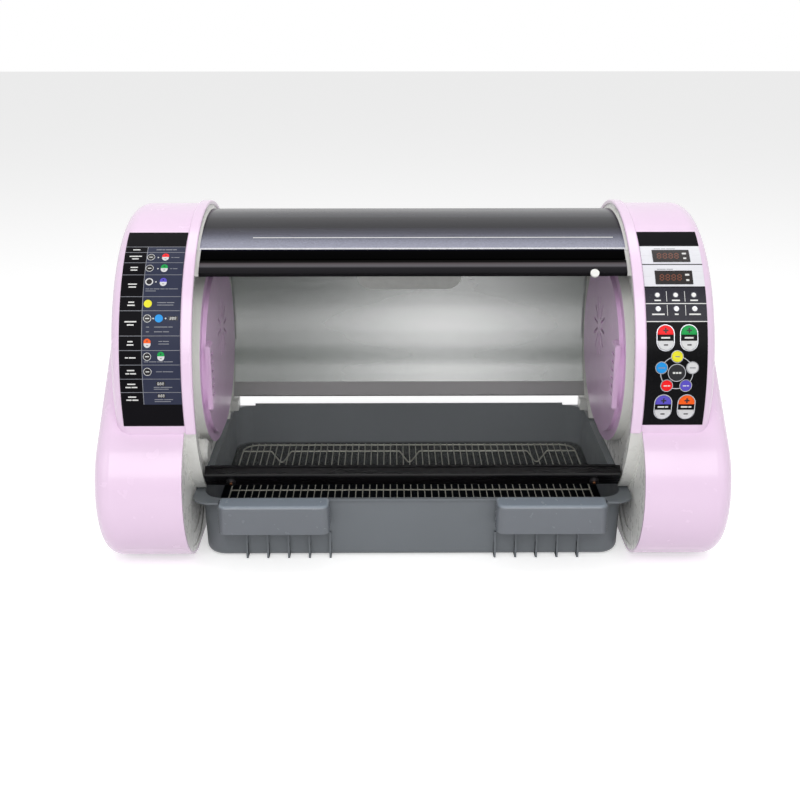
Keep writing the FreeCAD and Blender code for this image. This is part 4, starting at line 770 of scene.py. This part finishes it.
def print_keypad():
    """Header, silver bands, lamp zone, lines and labels of the keypad."""
    header = Overprint("keypad_header", HEADER, "panel_black")
    header.lay([box_outline(PANEL_LEFT, SILVER_HIGH, PANEL_RIGHT, PANEL_HIGH)], on_drum)
    header.done()

    silver = Overprint("keypad_silver_bands", SILVER, "key_silver")
    for low, high in ((SILVER_SPLIT_HIGH, SILVER_HIGH), (SILVER_LOW, SILVER_SPLIT_LOW)):
        silver.lay([box_outline(PANEL_LEFT, low, PANEL_RIGHT, high)], on_drum)
    silver.done()

    zone = Overprint("keypad_lamp_zone", ZONE, "panel_black")
    zone.lay([box_outline(PANEL_LEFT, ZONE_LOW, PANEL_RIGHT, SILVER_LOW - 1.6)], on_drum)
    zone.done()

    white = Overprint("keypad_white_lines", INK_WHITE, "key_white")
    for line in (ZONE_SPLIT, ZONE_LOW):
        white.mark([box_outline(PANEL_LEFT, line - 0.6, PANEL_RIGHT, line + 0.6)], on_drum)
    for row in LAMP_ROWS:
        for side in (-0.5, 0.5):
            x = PANEL_MIDDLE + side * LAMP_PITCH
            white.mark([box_outline(x - 0.35, row - 9.5, x + 0.35, row + 5.5)], on_drum)
    labels = (((8.6,), (10.8,), (10.2,)), ((17.0,), (5.2,), (15.6,)))
    for row, widths in zip(LAMP_ROWS, labels):
        for column, width in zip((-1, 0, 1), widths):
            middle = PANEL_MIDDLE + column * LAMP_PITCH
            white.mark(centred_bars(middle, row - 8.8, width, 2.0), on_drum)
    white.done()

    rims = Overprint("lamp_rims", BEZEL, "key_silver")
    for row in LAMP_ROWS:
        for column in (-1, 0, 1):
            x = PANEL_MIDDLE + column * LAMP_PITCH
            rims.lay(round_rim(x, row, 3.5, 2.75, 28), on_drum, high=LOW_RIM_LIFT)
    rims.done()

    labels = Overprint("screen_labels", INK_GREY, "panel_print")
    for arc, widths in zip(SCREENS, ((9.0, 6.0, 12.0), (12.0, 9.0))):
        labels.mark(word_bars(PANEL_MIDDLE - 22.0, arc + 12.6, widths, 1.1), on_drum)
    labels.done()


def print_screens():
    """Four digits and two small marks on each screen."""
    digits = Overprint("screen_digits", SEGMENT, "key_orange")
    marks = Overprint("screen_marks", INK_WHITE, "key_white")
    glare = Overprint("screen_borders", INK_DARK, "panel_black")
    for arc in SCREENS:
        place = on_a_flat(PANEL_MIDDLE, arc, SCREEN_RADIUS)
        for number in range(4):
            digits.stamp(digit_outlines(-20.0 + number * 8.0, -5.2, 6.4, 10.2, 1.7), place)
        marks.stamp([box_outline(15.6, 2.6, 21.4, 5.4), box_outline(16.4, -5.8, 20.6, -3.0)],
                    place)
        outer = box_outline(-25.6, -10.5, 25.6, 10.5)
        inner = box_outline(-24.2, -9.1, 24.2, 9.1)
        glare.stamp(ring_outlines(outer, inner), place, high=STAMP_SINK)
    digits.done()
    marks.done()
    glare.done()


def key_rims():
    """Bright rims round the keys and the ring that joins the five round ones."""
    rims = Overprint("key_rims", BEZEL, "key_silver")
    for column in OVAL_COLUMNS:
        for row in OVAL_ROWS:
            x = PANEL_MIDDLE + column
            outer = stadium_outline(x, row, OVAL_WIDTH + 2.8, OVAL_HEIGHT + 2.8)
            inner = stadium_outline(x, row, OVAL_WIDTH + 0.9, OVAL_HEIGHT + 0.9)
            rims.lay(ring_outlines(outer, inner), on_drum, high=RIM_LIFT)
    rims.lay(round_rim(PANEL_MIDDLE, RING_ARC, CENTRE_RADIUS + 1.3, CENTRE_RADIUS + 0.45, 48),
             on_drum, high=RIM_LIFT)
    for turn in ROUND_KEYS.values():
        x, row = ring_spot(turn)
        rims.lay(round_rim(x, row, ROUND_RADIUS + 1.1, ROUND_RADIUS + 0.4, 36), on_drum,
                 high=LOW_RIM_LIFT)
    reach = math.degrees((ROUND_RADIUS + 1.0) / RING_RADIUS)
    for start in (18, 90, 162, 234, 306):
        low = start + reach
        high = start + 72 - reach
        quads = []
        for step in range(RING_STEPS):
            first = low + (high - low) * step / RING_STEPS
            second = low + (high - low) * (step + 1) / RING_STEPS
            quads.append([ring_spot(turn, off) for turn, off in (
                (first, -RING_HALF), (first, RING_HALF), (second, RING_HALF),
                (second, -RING_HALF))])
        rims.lay(quads, on_drum, high=RING_LIFT)
    rims.done()
    names = Overprint("oval_key_names", INK_WHITE, "key_white")
    for column in OVAL_COLUMNS:
        for row, widths in zip(OVAL_ROWS, ((12.0,), (9.0, 4.0))):
            names.mark(centred_bars(PANEL_MIDDLE + column, row - 1.1, widths, 2.2), on_drum)
    names.done()


def key_signs():
    """The plus and minus signs and the short bars on the keys, each riding on its key."""
    ovals = {"temperature": (0, 0), "humidity": (1, 0), "mist": (0, 1), "light": (1, 1)}
    for label, (column, row) in ovals.items():
        x = PANEL_MIDDLE + OVAL_COLUMNS[column]
        place = on_a_flat(x, OVAL_ROWS[row], KEY_RADIUS)
        for ending, outlines in (
                ("up", plus_outlines(0.0, 9.8, 7.2, 2.1)),
                ("down", [box_outline(-2.9, -10.7, 2.9, -8.9)])):
            name = f"{label}_{ending}_key"
            sign = Overprint(f"{name}_sign", INK_DARK, "panel_black", f"{name}_body")
            sign.stamp(outlines, place, -KEY_SIGN_SINK)
            sign.done()
    bars = ((6.0,), (8.0,), (4.5, 3.0), (4.5, 3.5), (9.0,))
    for (name, turn), widths in zip(ROUND_KEYS.items(), bars):
        x, row = ring_spot(turn)
        ink = INK_WHITE if name in ("violet_key", "red_key") else INK_GREY
        sign = Overprint(f"{name}_bars", ink, "key_white", f"{name}_body")
        sign.stamp(centred_bars(0.0, -0.7, widths, 1.4, 0.9), on_a_flat(x, row, KEY_RADIUS),
                   -KEY_SIGN_SINK)
        sign.done()
    sign = Overprint("centre_key_bars", INK_WHITE, "key_white", "centre_key_body")
    sign.stamp(centred_bars(0.0, -1.2, (3.4, 2.8, 3.4), 2.4, 0.9),
               on_a_flat(PANEL_MIDDLE, RING_ARC, KEY_RADIUS), -KEY_SIGN_SINK)
    sign.done()


# Chart print

CHART_LINES = (226.1, 215.6, 197.5, 177.6, 144.6, 124.5, 89.9, 70.3, 50.7, 31.5, 12.9, -4.5)
CHART_DIVIDER = -366.8
CHART_LEFT = -397.6
CHART_RIGHT = -315.0


CHART_LEFT_MIDDLE = (CHART_LEFT + CHART_DIVIDER) / 2
CHART_RIGHT_MIDDLE = (CHART_DIVIDER + CHART_RIGHT) / 2
CHART_LINE_HALF = 0.35
CHART_ROW_BARS = (((17.0,), (9.0,)), ((10.0,), (9.0,)), ((12.0,), (10.0,)), ((8.0,), (10.0,)),
                  ((16.0,), (9.0,)), ((7.0,), (9.0,)), ((4.0, 9.0),), ((10.0,), (5.0, 8.0)),
                  ((11.0,), (7.0, 8.0)), ((11.0,), (7.0, 8.0)))
CHART_SMALL_BARS = (
    (-333.0, 206.0, (3.0, 7.0)), (-333.0, 187.0, (3.0, 6.0)), (-364.0, 155.5, (5.0, 4.0, 8.0)),
    (-344.0, 155.5, (6.0, 4.0, 12.0)), (-364.0, 152.5, (14.0,)), (-347.0, 135.5, (12.0, 10.0)),
    (-347.0, 132.0, (22.0,)), (-350.0, 101.5, (18.0, 6.0)), (-361.0, 101.5, (4.0,)),
    (-350.0, 95.0, (11.0, 8.0)), (-361.0, 95.0, (4.0,)), (-344.0, 82.0, (5.0, 8.0)),
    (-344.0, 78.5, (14.0,)), (-364.0, 54.5, (6.0, 10.0)), (-346.0, 54.5, (8.0, 12.0)),
    (-348.0, 41.0, (8.0, 14.0)), (-352.0, 19.6, (8.0, 16.0)), (-352.0, 17.0, (20.0,)),
    (-352.0, 2.2, (12.0, 12.0)), (-352.0, -0.6, (22.0,)))
CHART_RINGED_KEYS = ((-361.0, 207.2), (-361.0, 188.3), (-359.6, 113.8), (-359.6, 62.0),
                     (-359.6, 41.5))
CHART_DIGITS = ((-324.8, 113.8, 13.0), (-342.4, 25.0, 12.0), (-342.4, 8.0, 11.0))
CHART_PLUSES = ((-350.8, 206.6), (-349.6, 187.6), (-350.6, 166.6), (-351.6, 113.8),
                (-334.8, 113.8))
CHART_OVALS = (("red", RED, ((-341.0, 207.4),)),
               ("green", GREEN, ((-341.0, 188.4), (-341.0, 62.4))),
               ("violet", VIOLET, ((-340.6, 166.6),)), ("orange", ORANGE, ((-359.4, 80.0),)))
CHART_OPEN_KEY = (-359.8, 166.9)
CHART_DISCS = (("yellow", YELLOW, "key_yellow", (-359.6, 134.6)),
               ("blue", BLUE, "key_blue", (-344.0, 113.8)),
               ("grey", WHITE, "key_white", CHART_OPEN_KEY))
OVER_MARK = MARK_LIFT + 0.03
OVER_OVAL = MARK_LIFT + 0.04


def print_chart_rows():
    """The chart's slate column, its lines, and plain bars in place of words."""
    slate = Overprint("chart_slate_column", SLATE, "panel_print")
    slate.lay([box_outline(CHART_DIVIDER, CHART_LINES[-1], CHART_RIGHT, CHART_LINES[0])], on_drum)
    slate.done()
    lines = Overprint("chart_lines", INK_GREY, "panel_print")
    for line in CHART_LINES[:-1]:
        lines.mark([box_outline(CHART_LEFT, line - CHART_LINE_HALF, CHART_RIGHT,
                                line + CHART_LINE_HALF)], on_drum)
    lines.mark([box_outline(CHART_DIVIDER - 0.4, CHART_LINES[-1], CHART_DIVIDER + 0.4,
                            CHART_LINES[0])], on_drum)
    lines.mark(centred_bars(CHART_RIGHT_MIDDLE, 219.9, (7.0, 4.0, 9.0, 5.0), 1.4, 1.0), on_drum)
    for x, arc, widths in CHART_SMALL_BARS:
        lines.mark(word_bars(x, arc, widths, 1.0, 1.0), on_drum)
    lines.done()
    names = Overprint("chart_row_bars", INK_WHITE, "key_white")
    for high, low, words in zip(CHART_LINES[1:], CHART_LINES[2:], CHART_ROW_BARS):
        middle = (high + low) / 2
        for number, widths in enumerate(words):
            base = middle - 0.9 + (len(words) - 1) * 2.2 - number * 4.4
            names.mark(centred_bars(CHART_LEFT_MIDDLE, base, widths, 1.7, 1.2), on_drum)
    names.mark(centred_bars(CHART_LEFT_MIDDLE, 219.8, (10.0,), 1.6), on_drum)
    names.done()


def print_chart_keys():
    """Small pictures of the keys, with signs and digits between them."""
    black = Overprint("chart_black_marks", INK_DARK, "panel_black")
    ringed = Overprint("chart_white_rings", INK_WHITE, "key_white")
    for x, arc in CHART_RINGED_KEYS:
        black.mark([disc_outline(x, arc, 4.9, 32)], on_drum)
        ringed.lay(round_rim(x, arc, 5.4, 4.8, 32), on_drum, high=OVER_MARK)
        ringed.lay(centred_bars(x, arc - 0.6, (5.0,), 1.2), on_drum, high=OVER_MARK)
    for x, arc, width in CHART_DIGITS:
        black.mark([box_outline(x - width / 2, arc - 2.8, x + width / 2, arc + 2.8)], on_drum)
        count = int(width // 3.4)
        for number in range(count):
            ringed.lay(digit_outlines(x - count * 1.5 + number * 3.1, arc - 1.9, 2.2, 3.8, 0.5),
                       on_drum, high=OVER_MARK)
    for x, arc in CHART_PLUSES:
        ringed.mark(plus_outlines(x, arc, 2.4, 0.7), on_drum)
    pale = Overprint("chart_pale_halves", WHITE, "key_white")
    for name, finish, spots in CHART_OVALS:
        half = Overprint(f"chart_{name}_halves", finish, f"key_{name}")
        for x, arc in spots:
            outline = stadium_outline(x, arc, 9.4, 12.4)
            upper = [(px, max(py, arc)) for px, py in outline if py >= arc - 0.01]
            lower = [(px, py) for px, py in outline if py <= arc + 0.01]
            half.mark([upper + [(x - 4.7, arc), (x + 4.7, arc)]], on_drum)
            pale.mark([[(x - 4.7, arc), *lower, (x + 4.7, arc)]], on_drum)
            black.lay(plus_outlines(x, arc + 3.0, 2.6, 0.7), on_drum, high=OVER_OVAL)
            black.lay([box_outline(x - 1.3, arc - 3.4, x + 1.3, arc - 2.7)], on_drum,
                      high=OVER_OVAL)
        half.done()
    pale.done()
    for name, finish, slot, (x, arc) in CHART_DISCS:
        disc = Overprint(f"chart_{name}_disc", finish, slot)
        disc.mark([disc_outline(x, arc, 5.5, 32)], on_drum)
        disc.done()
    black.lay([disc_outline(*CHART_OPEN_KEY, 3.9, 28)], on_drum, high=OVER_MARK)
    black.done()
    ringed.done()


# Wires bent to a path


class Growth(Graph):
    """A tree that makes round wire, from its named inputs to one painted mesh."""

    def __init__(self, name, inputs):
        super().__init__(bpy.data.node_groups.new(name, "GeometryNodeTree"))
        face = self.tree.interface
        for label, kind in (*inputs, ("Wire radius", "Float"), ("Finish", "Material")):
            face.new_socket(label, in_out="INPUT", socket_type=f"NodeSocket{kind}")
        face.new_socket("Wire", in_out="OUTPUT", socket_type="NodeSocketGeometry")
        self.given = self.node("NodeGroupInput")

    def tube(self, curve, sides):
        """Round wire along a curve, closed at its ends."""
        circle = self.node("GeometryNodeCurvePrimitiveCircle", Resolution=sides)
        tube = self.node("GeometryNodeCurveToMesh", Fill_Caps=True)
        self.join(self.given, "Wire radius", circle, "Radius")
        self.join(curve, "Curve", tube, "Curve")
        self.join(circle, "Curve", tube, "Profile Curve")
        return tube

    def done(self, last, out):
        """Smooths, joins and paints what a node makes, and hands the tree over."""
        smooth = self.node("GeometryNodeSetShadeSmooth")
        solid = self.node("GeometryNodeRealizeInstances")
        paint = self.node("GeometryNodeSetMaterial")
        self.join(last, out, smooth, "Geometry")
        self.join(smooth, "Geometry", solid, "Geometry")
        self.join(solid, "Geometry", paint, "Geometry")
        self.join(self.given, "Finish", paint, "Material")
        self.join(paint, "Geometry", self.node("NodeGroupOutput"), "Wire")
        return self.tree


def build_wire_tree():
    """Round wire along the edges it is given."""
    growth = Growth("bent_wire", (("Path", "Geometry"),))
    path = growth.node("GeometryNodeMeshToCurve")
    growth.join(growth.given, "Path", path, "Mesh")
    return growth.done(growth.tube(path, BENT_SIDES), "Mesh")


def build_row_tree():
    """A row of straight round wires, side by side."""
    growth = Growth("wire_row", (("Count", "Int"), ("Pitch", "Float"), ("Length", "Float"),
                                 ("Start", "Vector")))
    given = growth.given
    step = growth.node("ShaderNodeCombineXYZ")
    reach = growth.node("ShaderNodeCombineXYZ")
    line = growth.node("GeometryNodeMeshLine")
    wire = growth.node("GeometryNodeCurvePrimitiveLine")
    copies = growth.node("GeometryNodeInstanceOnPoints")
    for source, out, target, into in (
            (given, "Pitch", step, "X"), (given, "Length", reach, "Y"),
            (given, "Count", line, "Count"), (given, "Start", line, "Start Location"),
            (step, "Vector", line, "Offset"), (reach, "Vector", wire, "End"),
            (line, "Mesh", copies, "Points"),
            (growth.tube(wire, ROW_SIDES), "Mesh", copies, "Instance")):
        growth.join(source, out, target, into)
    return growth.done(copies, "Instances")


def grown(tree, mesh, **settings):
    """The mesh that a tree makes from a start mesh and its named inputs."""
    seed = placed(tree.name + "_seed", mesh)
    modifier = seed.modifiers.new("growth", "NODES")
    modifier.node_group = tree
    for socket in tree.interface.items_tree:
        name = socket.name.lower().replace(" ", "_")
        if socket.item_type == "SOCKET" and socket.in_out == "INPUT" and name in settings:
            modifier[socket.identifier] = settings[name]
    graph = bpy.context.evaluated_depsgraph_get()
    result = bpy.data.meshes.new_from_object(seed.evaluated_get(graph))
    seed.modifiers.remove(modifier)
    bpy.data.objects.remove(seed)
    return result


def path_mesh(runs):
    """A mesh of edges along runs of points, in millimetres."""
    points = []
    edges = []
    for run in runs:
        first = len(points)
        points += [(x * MM, y * MM, z * MM) for x, y, z in run]
        edges += [(first + n, first + n + 1) for n in range(len(run) - 1)]
    mesh = bpy.data.meshes.new("path")
    mesh.from_pydata(points, edges, [])
    return mesh


def rounded_path(corners, radius, steps):
    """A path whose corners, but for its two ends, are turned with a bend."""
    corners = [Vector(corner) for corner in corners]
    path = [tuple(corners[0])]
    for last, here, following in zip(corners, corners[1:], corners[2:]):
        before = (last - here).normalized()
        after = (following - here).normalized()
        turn = before.angle(after)
        reach = radius / math.tan(turn / 2)
        middle = here + (before + after).normalized() * (radius / math.sin(turn / 2))
        start = here + before * reach - middle
        end = here + after * reach - middle
        for step in range(steps + 1):
            path.append(tuple(middle + start.slerp(end, step / steps).normalized() * radius))
    path.append(tuple(corners[-1]))
    return path


# Wire rack

RACK_HALF = 286.0
RACK_FRONT = DRUM_Y - 174.0
RACK_REAR = DRUM_Y + 168.0
RACK_CORNER = 26.0
RACK_LEVEL = 31.0
RACK_CROSS = 140.0
RACK_MIDDLE = -21.0
RACK_FOOT_X = 220.0
RACK_FOOT_HALF = 17.0
RACK_FOOT_TIP = 7.1
RACK_BORDER_RADIUS = 1.2
RACK_WIRE_RADIUS = 0.8
RACK_PITCH = 10.9
RACK_COUNT = 51
RACK_SUNK = 0.4
FOOT_BEND = 5.0
BENT_SIDES = 12
ROW_SIDES = 10


def make_rack():
    """The rack of round wires: bent border, cross wires with feet, close floor wires."""
    border = rounded_path([(0.0, RACK_FRONT, RACK_LEVEL), (RACK_HALF, RACK_FRONT, RACK_LEVEL),
                           (RACK_HALF, RACK_REAR, RACK_LEVEL), (-RACK_HALF, RACK_REAR, RACK_LEVEL),
                           (-RACK_HALF, RACK_FRONT, RACK_LEVEL), (0.0, RACK_FRONT, RACK_LEVEL)],
                          RACK_CORNER, 10)
    runs = [border]
    for line in (-1, 0, 1):
        y = DRUM_Y + (line * RACK_CROSS or RACK_MIDDLE)
        corners = [(-RACK_HALF, y, RACK_LEVEL)]
        if line:
            for middle in (-RACK_FOOT_X, 0.0, RACK_FOOT_X):
                corners += [(middle - RACK_FOOT_HALF, y, RACK_LEVEL), (middle, y, RACK_FOOT_TIP),
                            (middle + RACK_FOOT_HALF, y, RACK_LEVEL)]
        corners.append((RACK_HALF, y, RACK_LEVEL))
        runs.append(rounded_path(corners, FOOT_BEND, 5))
    bent = grown(build_wire_tree(), path_mesh(runs), wire_radius=RACK_BORDER_RADIUS * MM,
                 finish=WIRE)
    top = RACK_LEVEL + RACK_BORDER_RADIUS + RACK_WIRE_RADIUS - RACK_SUNK
    start = (-RACK_PITCH * (RACK_COUNT - 1) / 2 * MM, (RACK_FRONT - 1.0) * MM, top * MM)
    row = grown(build_row_tree(), bpy.data.meshes.new("row"), count=RACK_COUNT,
                pitch=RACK_PITCH * MM, length=(RACK_REAR - RACK_FRONT + 2.0) * MM,
                wire_radius=RACK_WIRE_RADIUS * MM, start=start, finish=WIRE)
    both = bmesh.new()
    both.from_mesh(bent)
    both.from_mesh(row)
    mesh = bpy.data.meshes.new("round_wire_rack")
    both.to_mesh(mesh)
    both.free()
    rack = finish_piece("round_wire_rack", mesh, WIRE, "rack")
    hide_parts("wire_rack")


# Floor, backdrop, lamps and camera


FLOOR_REACH = 9.0
FLOOR_SHADE = (0.82, 0.82, 0.82, 1.0)
FLOOR_GLOW = 0.5
PLAIN_WHITE = (1.0, 1.0, 1.0, 1.0)
SOFT_LIGHT = 0.4


def make_floor():
    """A plain white floor that the camera sees as white, with the incubator's soft shadow."""
    low = cad_box[0].z
    mesh = bpy.data.meshes.new("floor")
    mesh.from_pydata([(x * FLOOR_REACH, y * FLOOR_REACH, low)
                      for x, y in ((-1, -1), (1, -1), (1, 1), (-1, 1))], [], [(0, 1, 2, 3)])
    placed("floor", mesh)
    material = bpy.data.materials.new("white_floor")
    material.use_nodes = True
    graph = Graph(material.node_tree)
    matt = graph.node("ShaderNodeBsdfDiffuse", Color=FLOOR_SHADE)
    both = graph.node("ShaderNodeAddShader")
    graph.join(matt, 0, both, 0)
    graph.join(seen_or_not(graph, graph.node("ShaderNodeEmission", Strength=FLOOR_GLOW),
                           graph.node("ShaderNodeEmission", Strength=0.0)), 0, both, 1)
    graph.join(both, 0, graph.node("ShaderNodeOutputMaterial"), "Surface")
    mesh.materials.append(material)


def seen_or_not(graph, seen, unseen):
    """One light for what the camera sees, straight, mirrored or through a clear sheet."""
    path = graph.node("ShaderNodeLightPath").outputs
    share = graph.reckon("MAXIMUM", path["Is Camera Ray"], path["Is Glossy Ray"])
    share = graph.reckon("MAXIMUM", share, path["Is Transmission Ray"])
    choose = graph.node("ShaderNodeMixShader")
    graph.tree.links.new(share, choose.inputs[0])
    graph.join(unseen, 0, choose, 1)
    graph.join(seen, 0, choose, 2)
    return choose


def make_backdrop():
    """A white surround for what the camera sees, and plain soft light for the rest."""
    world = bpy.data.worlds.new("studio")
    bpy.context.scene.world = world
    world.use_nodes = True
    graph = Graph(world.node_tree)
    white = graph.node("ShaderNodeBackground", Color=PLAIN_WHITE, Strength=1.0)
    soft = graph.node("ShaderNodeBackground", Color=PLAIN_WHITE, Strength=SOFT_LIGHT)
    graph.join(seen_or_not(graph, white, soft), 0, graph.node("ShaderNodeOutputWorld"),
               "Surface")


INCUBATOR_MIDDLE = (0.0, 0.0, 0.25)
SOFTBOXES = (
    ("top_softbox", (0.0, 0.45, 2.5), INCUBATOR_MIDDLE, (2.4, 0.9), 16.0),
    ("front_softbox", (0.0, -2.0, 1.75), (0.0, 0.0, 0.2), (2.4, 1.6), 30.0),
    ("left_softbox", (-2.2, -1.6, 1.5), INCUBATOR_MIDDLE, (1.2, 1.8), 6.0),
    ("right_softbox", (2.2, -1.6, 1.5), INCUBATOR_MIDDLE, (1.2, 1.8), 5.0))


def make_lamp(name, place, aim, size, power):
    """A soft box that points at a place."""
    light = bpy.data.lights.new(name, "AREA")
    light.shape = "RECTANGLE"
    light.size = size[0]
    light.size_y = size[1]
    light.energy = power
    lamp = placed(name, light)
    lamp.location = place
    lamp.rotation_euler = (Vector(aim) - Vector(place)).to_track_quat("-Z", "Y").to_euler()


SENSOR_WIDTH = 36.0
LENS = 52.26
CAMERA_PLACE = (-0.02905, -1.697, 0.80078)
CAMERA_TURN = (69.92, 0.0, -0.401)


def make_camera():
    """The camera stands where the photograph was taken from."""
    lens = bpy.data.cameras.new("camera")
    lens.sensor_width = SENSOR_WIDTH
    lens.lens = LENS
    camera = placed("camera", lens)
    camera.location = CAMERA_PLACE
    camera.rotation_euler = [math.radians(turn) for turn in CAMERA_TURN]
    bpy.context.scene.camera = camera


dress_nodes()
print_cover()
print_keypad()
print_screens()
key_rims()
key_signs()
print_chart_rows()
print_chart_keys()
make_rack()
make_floor()
make_backdrop()
for lamp in SOFTBOXES:
    make_lamp(*lamp)
make_camera()
bpy.context.scene.view_settings.view_transform = "Standard"
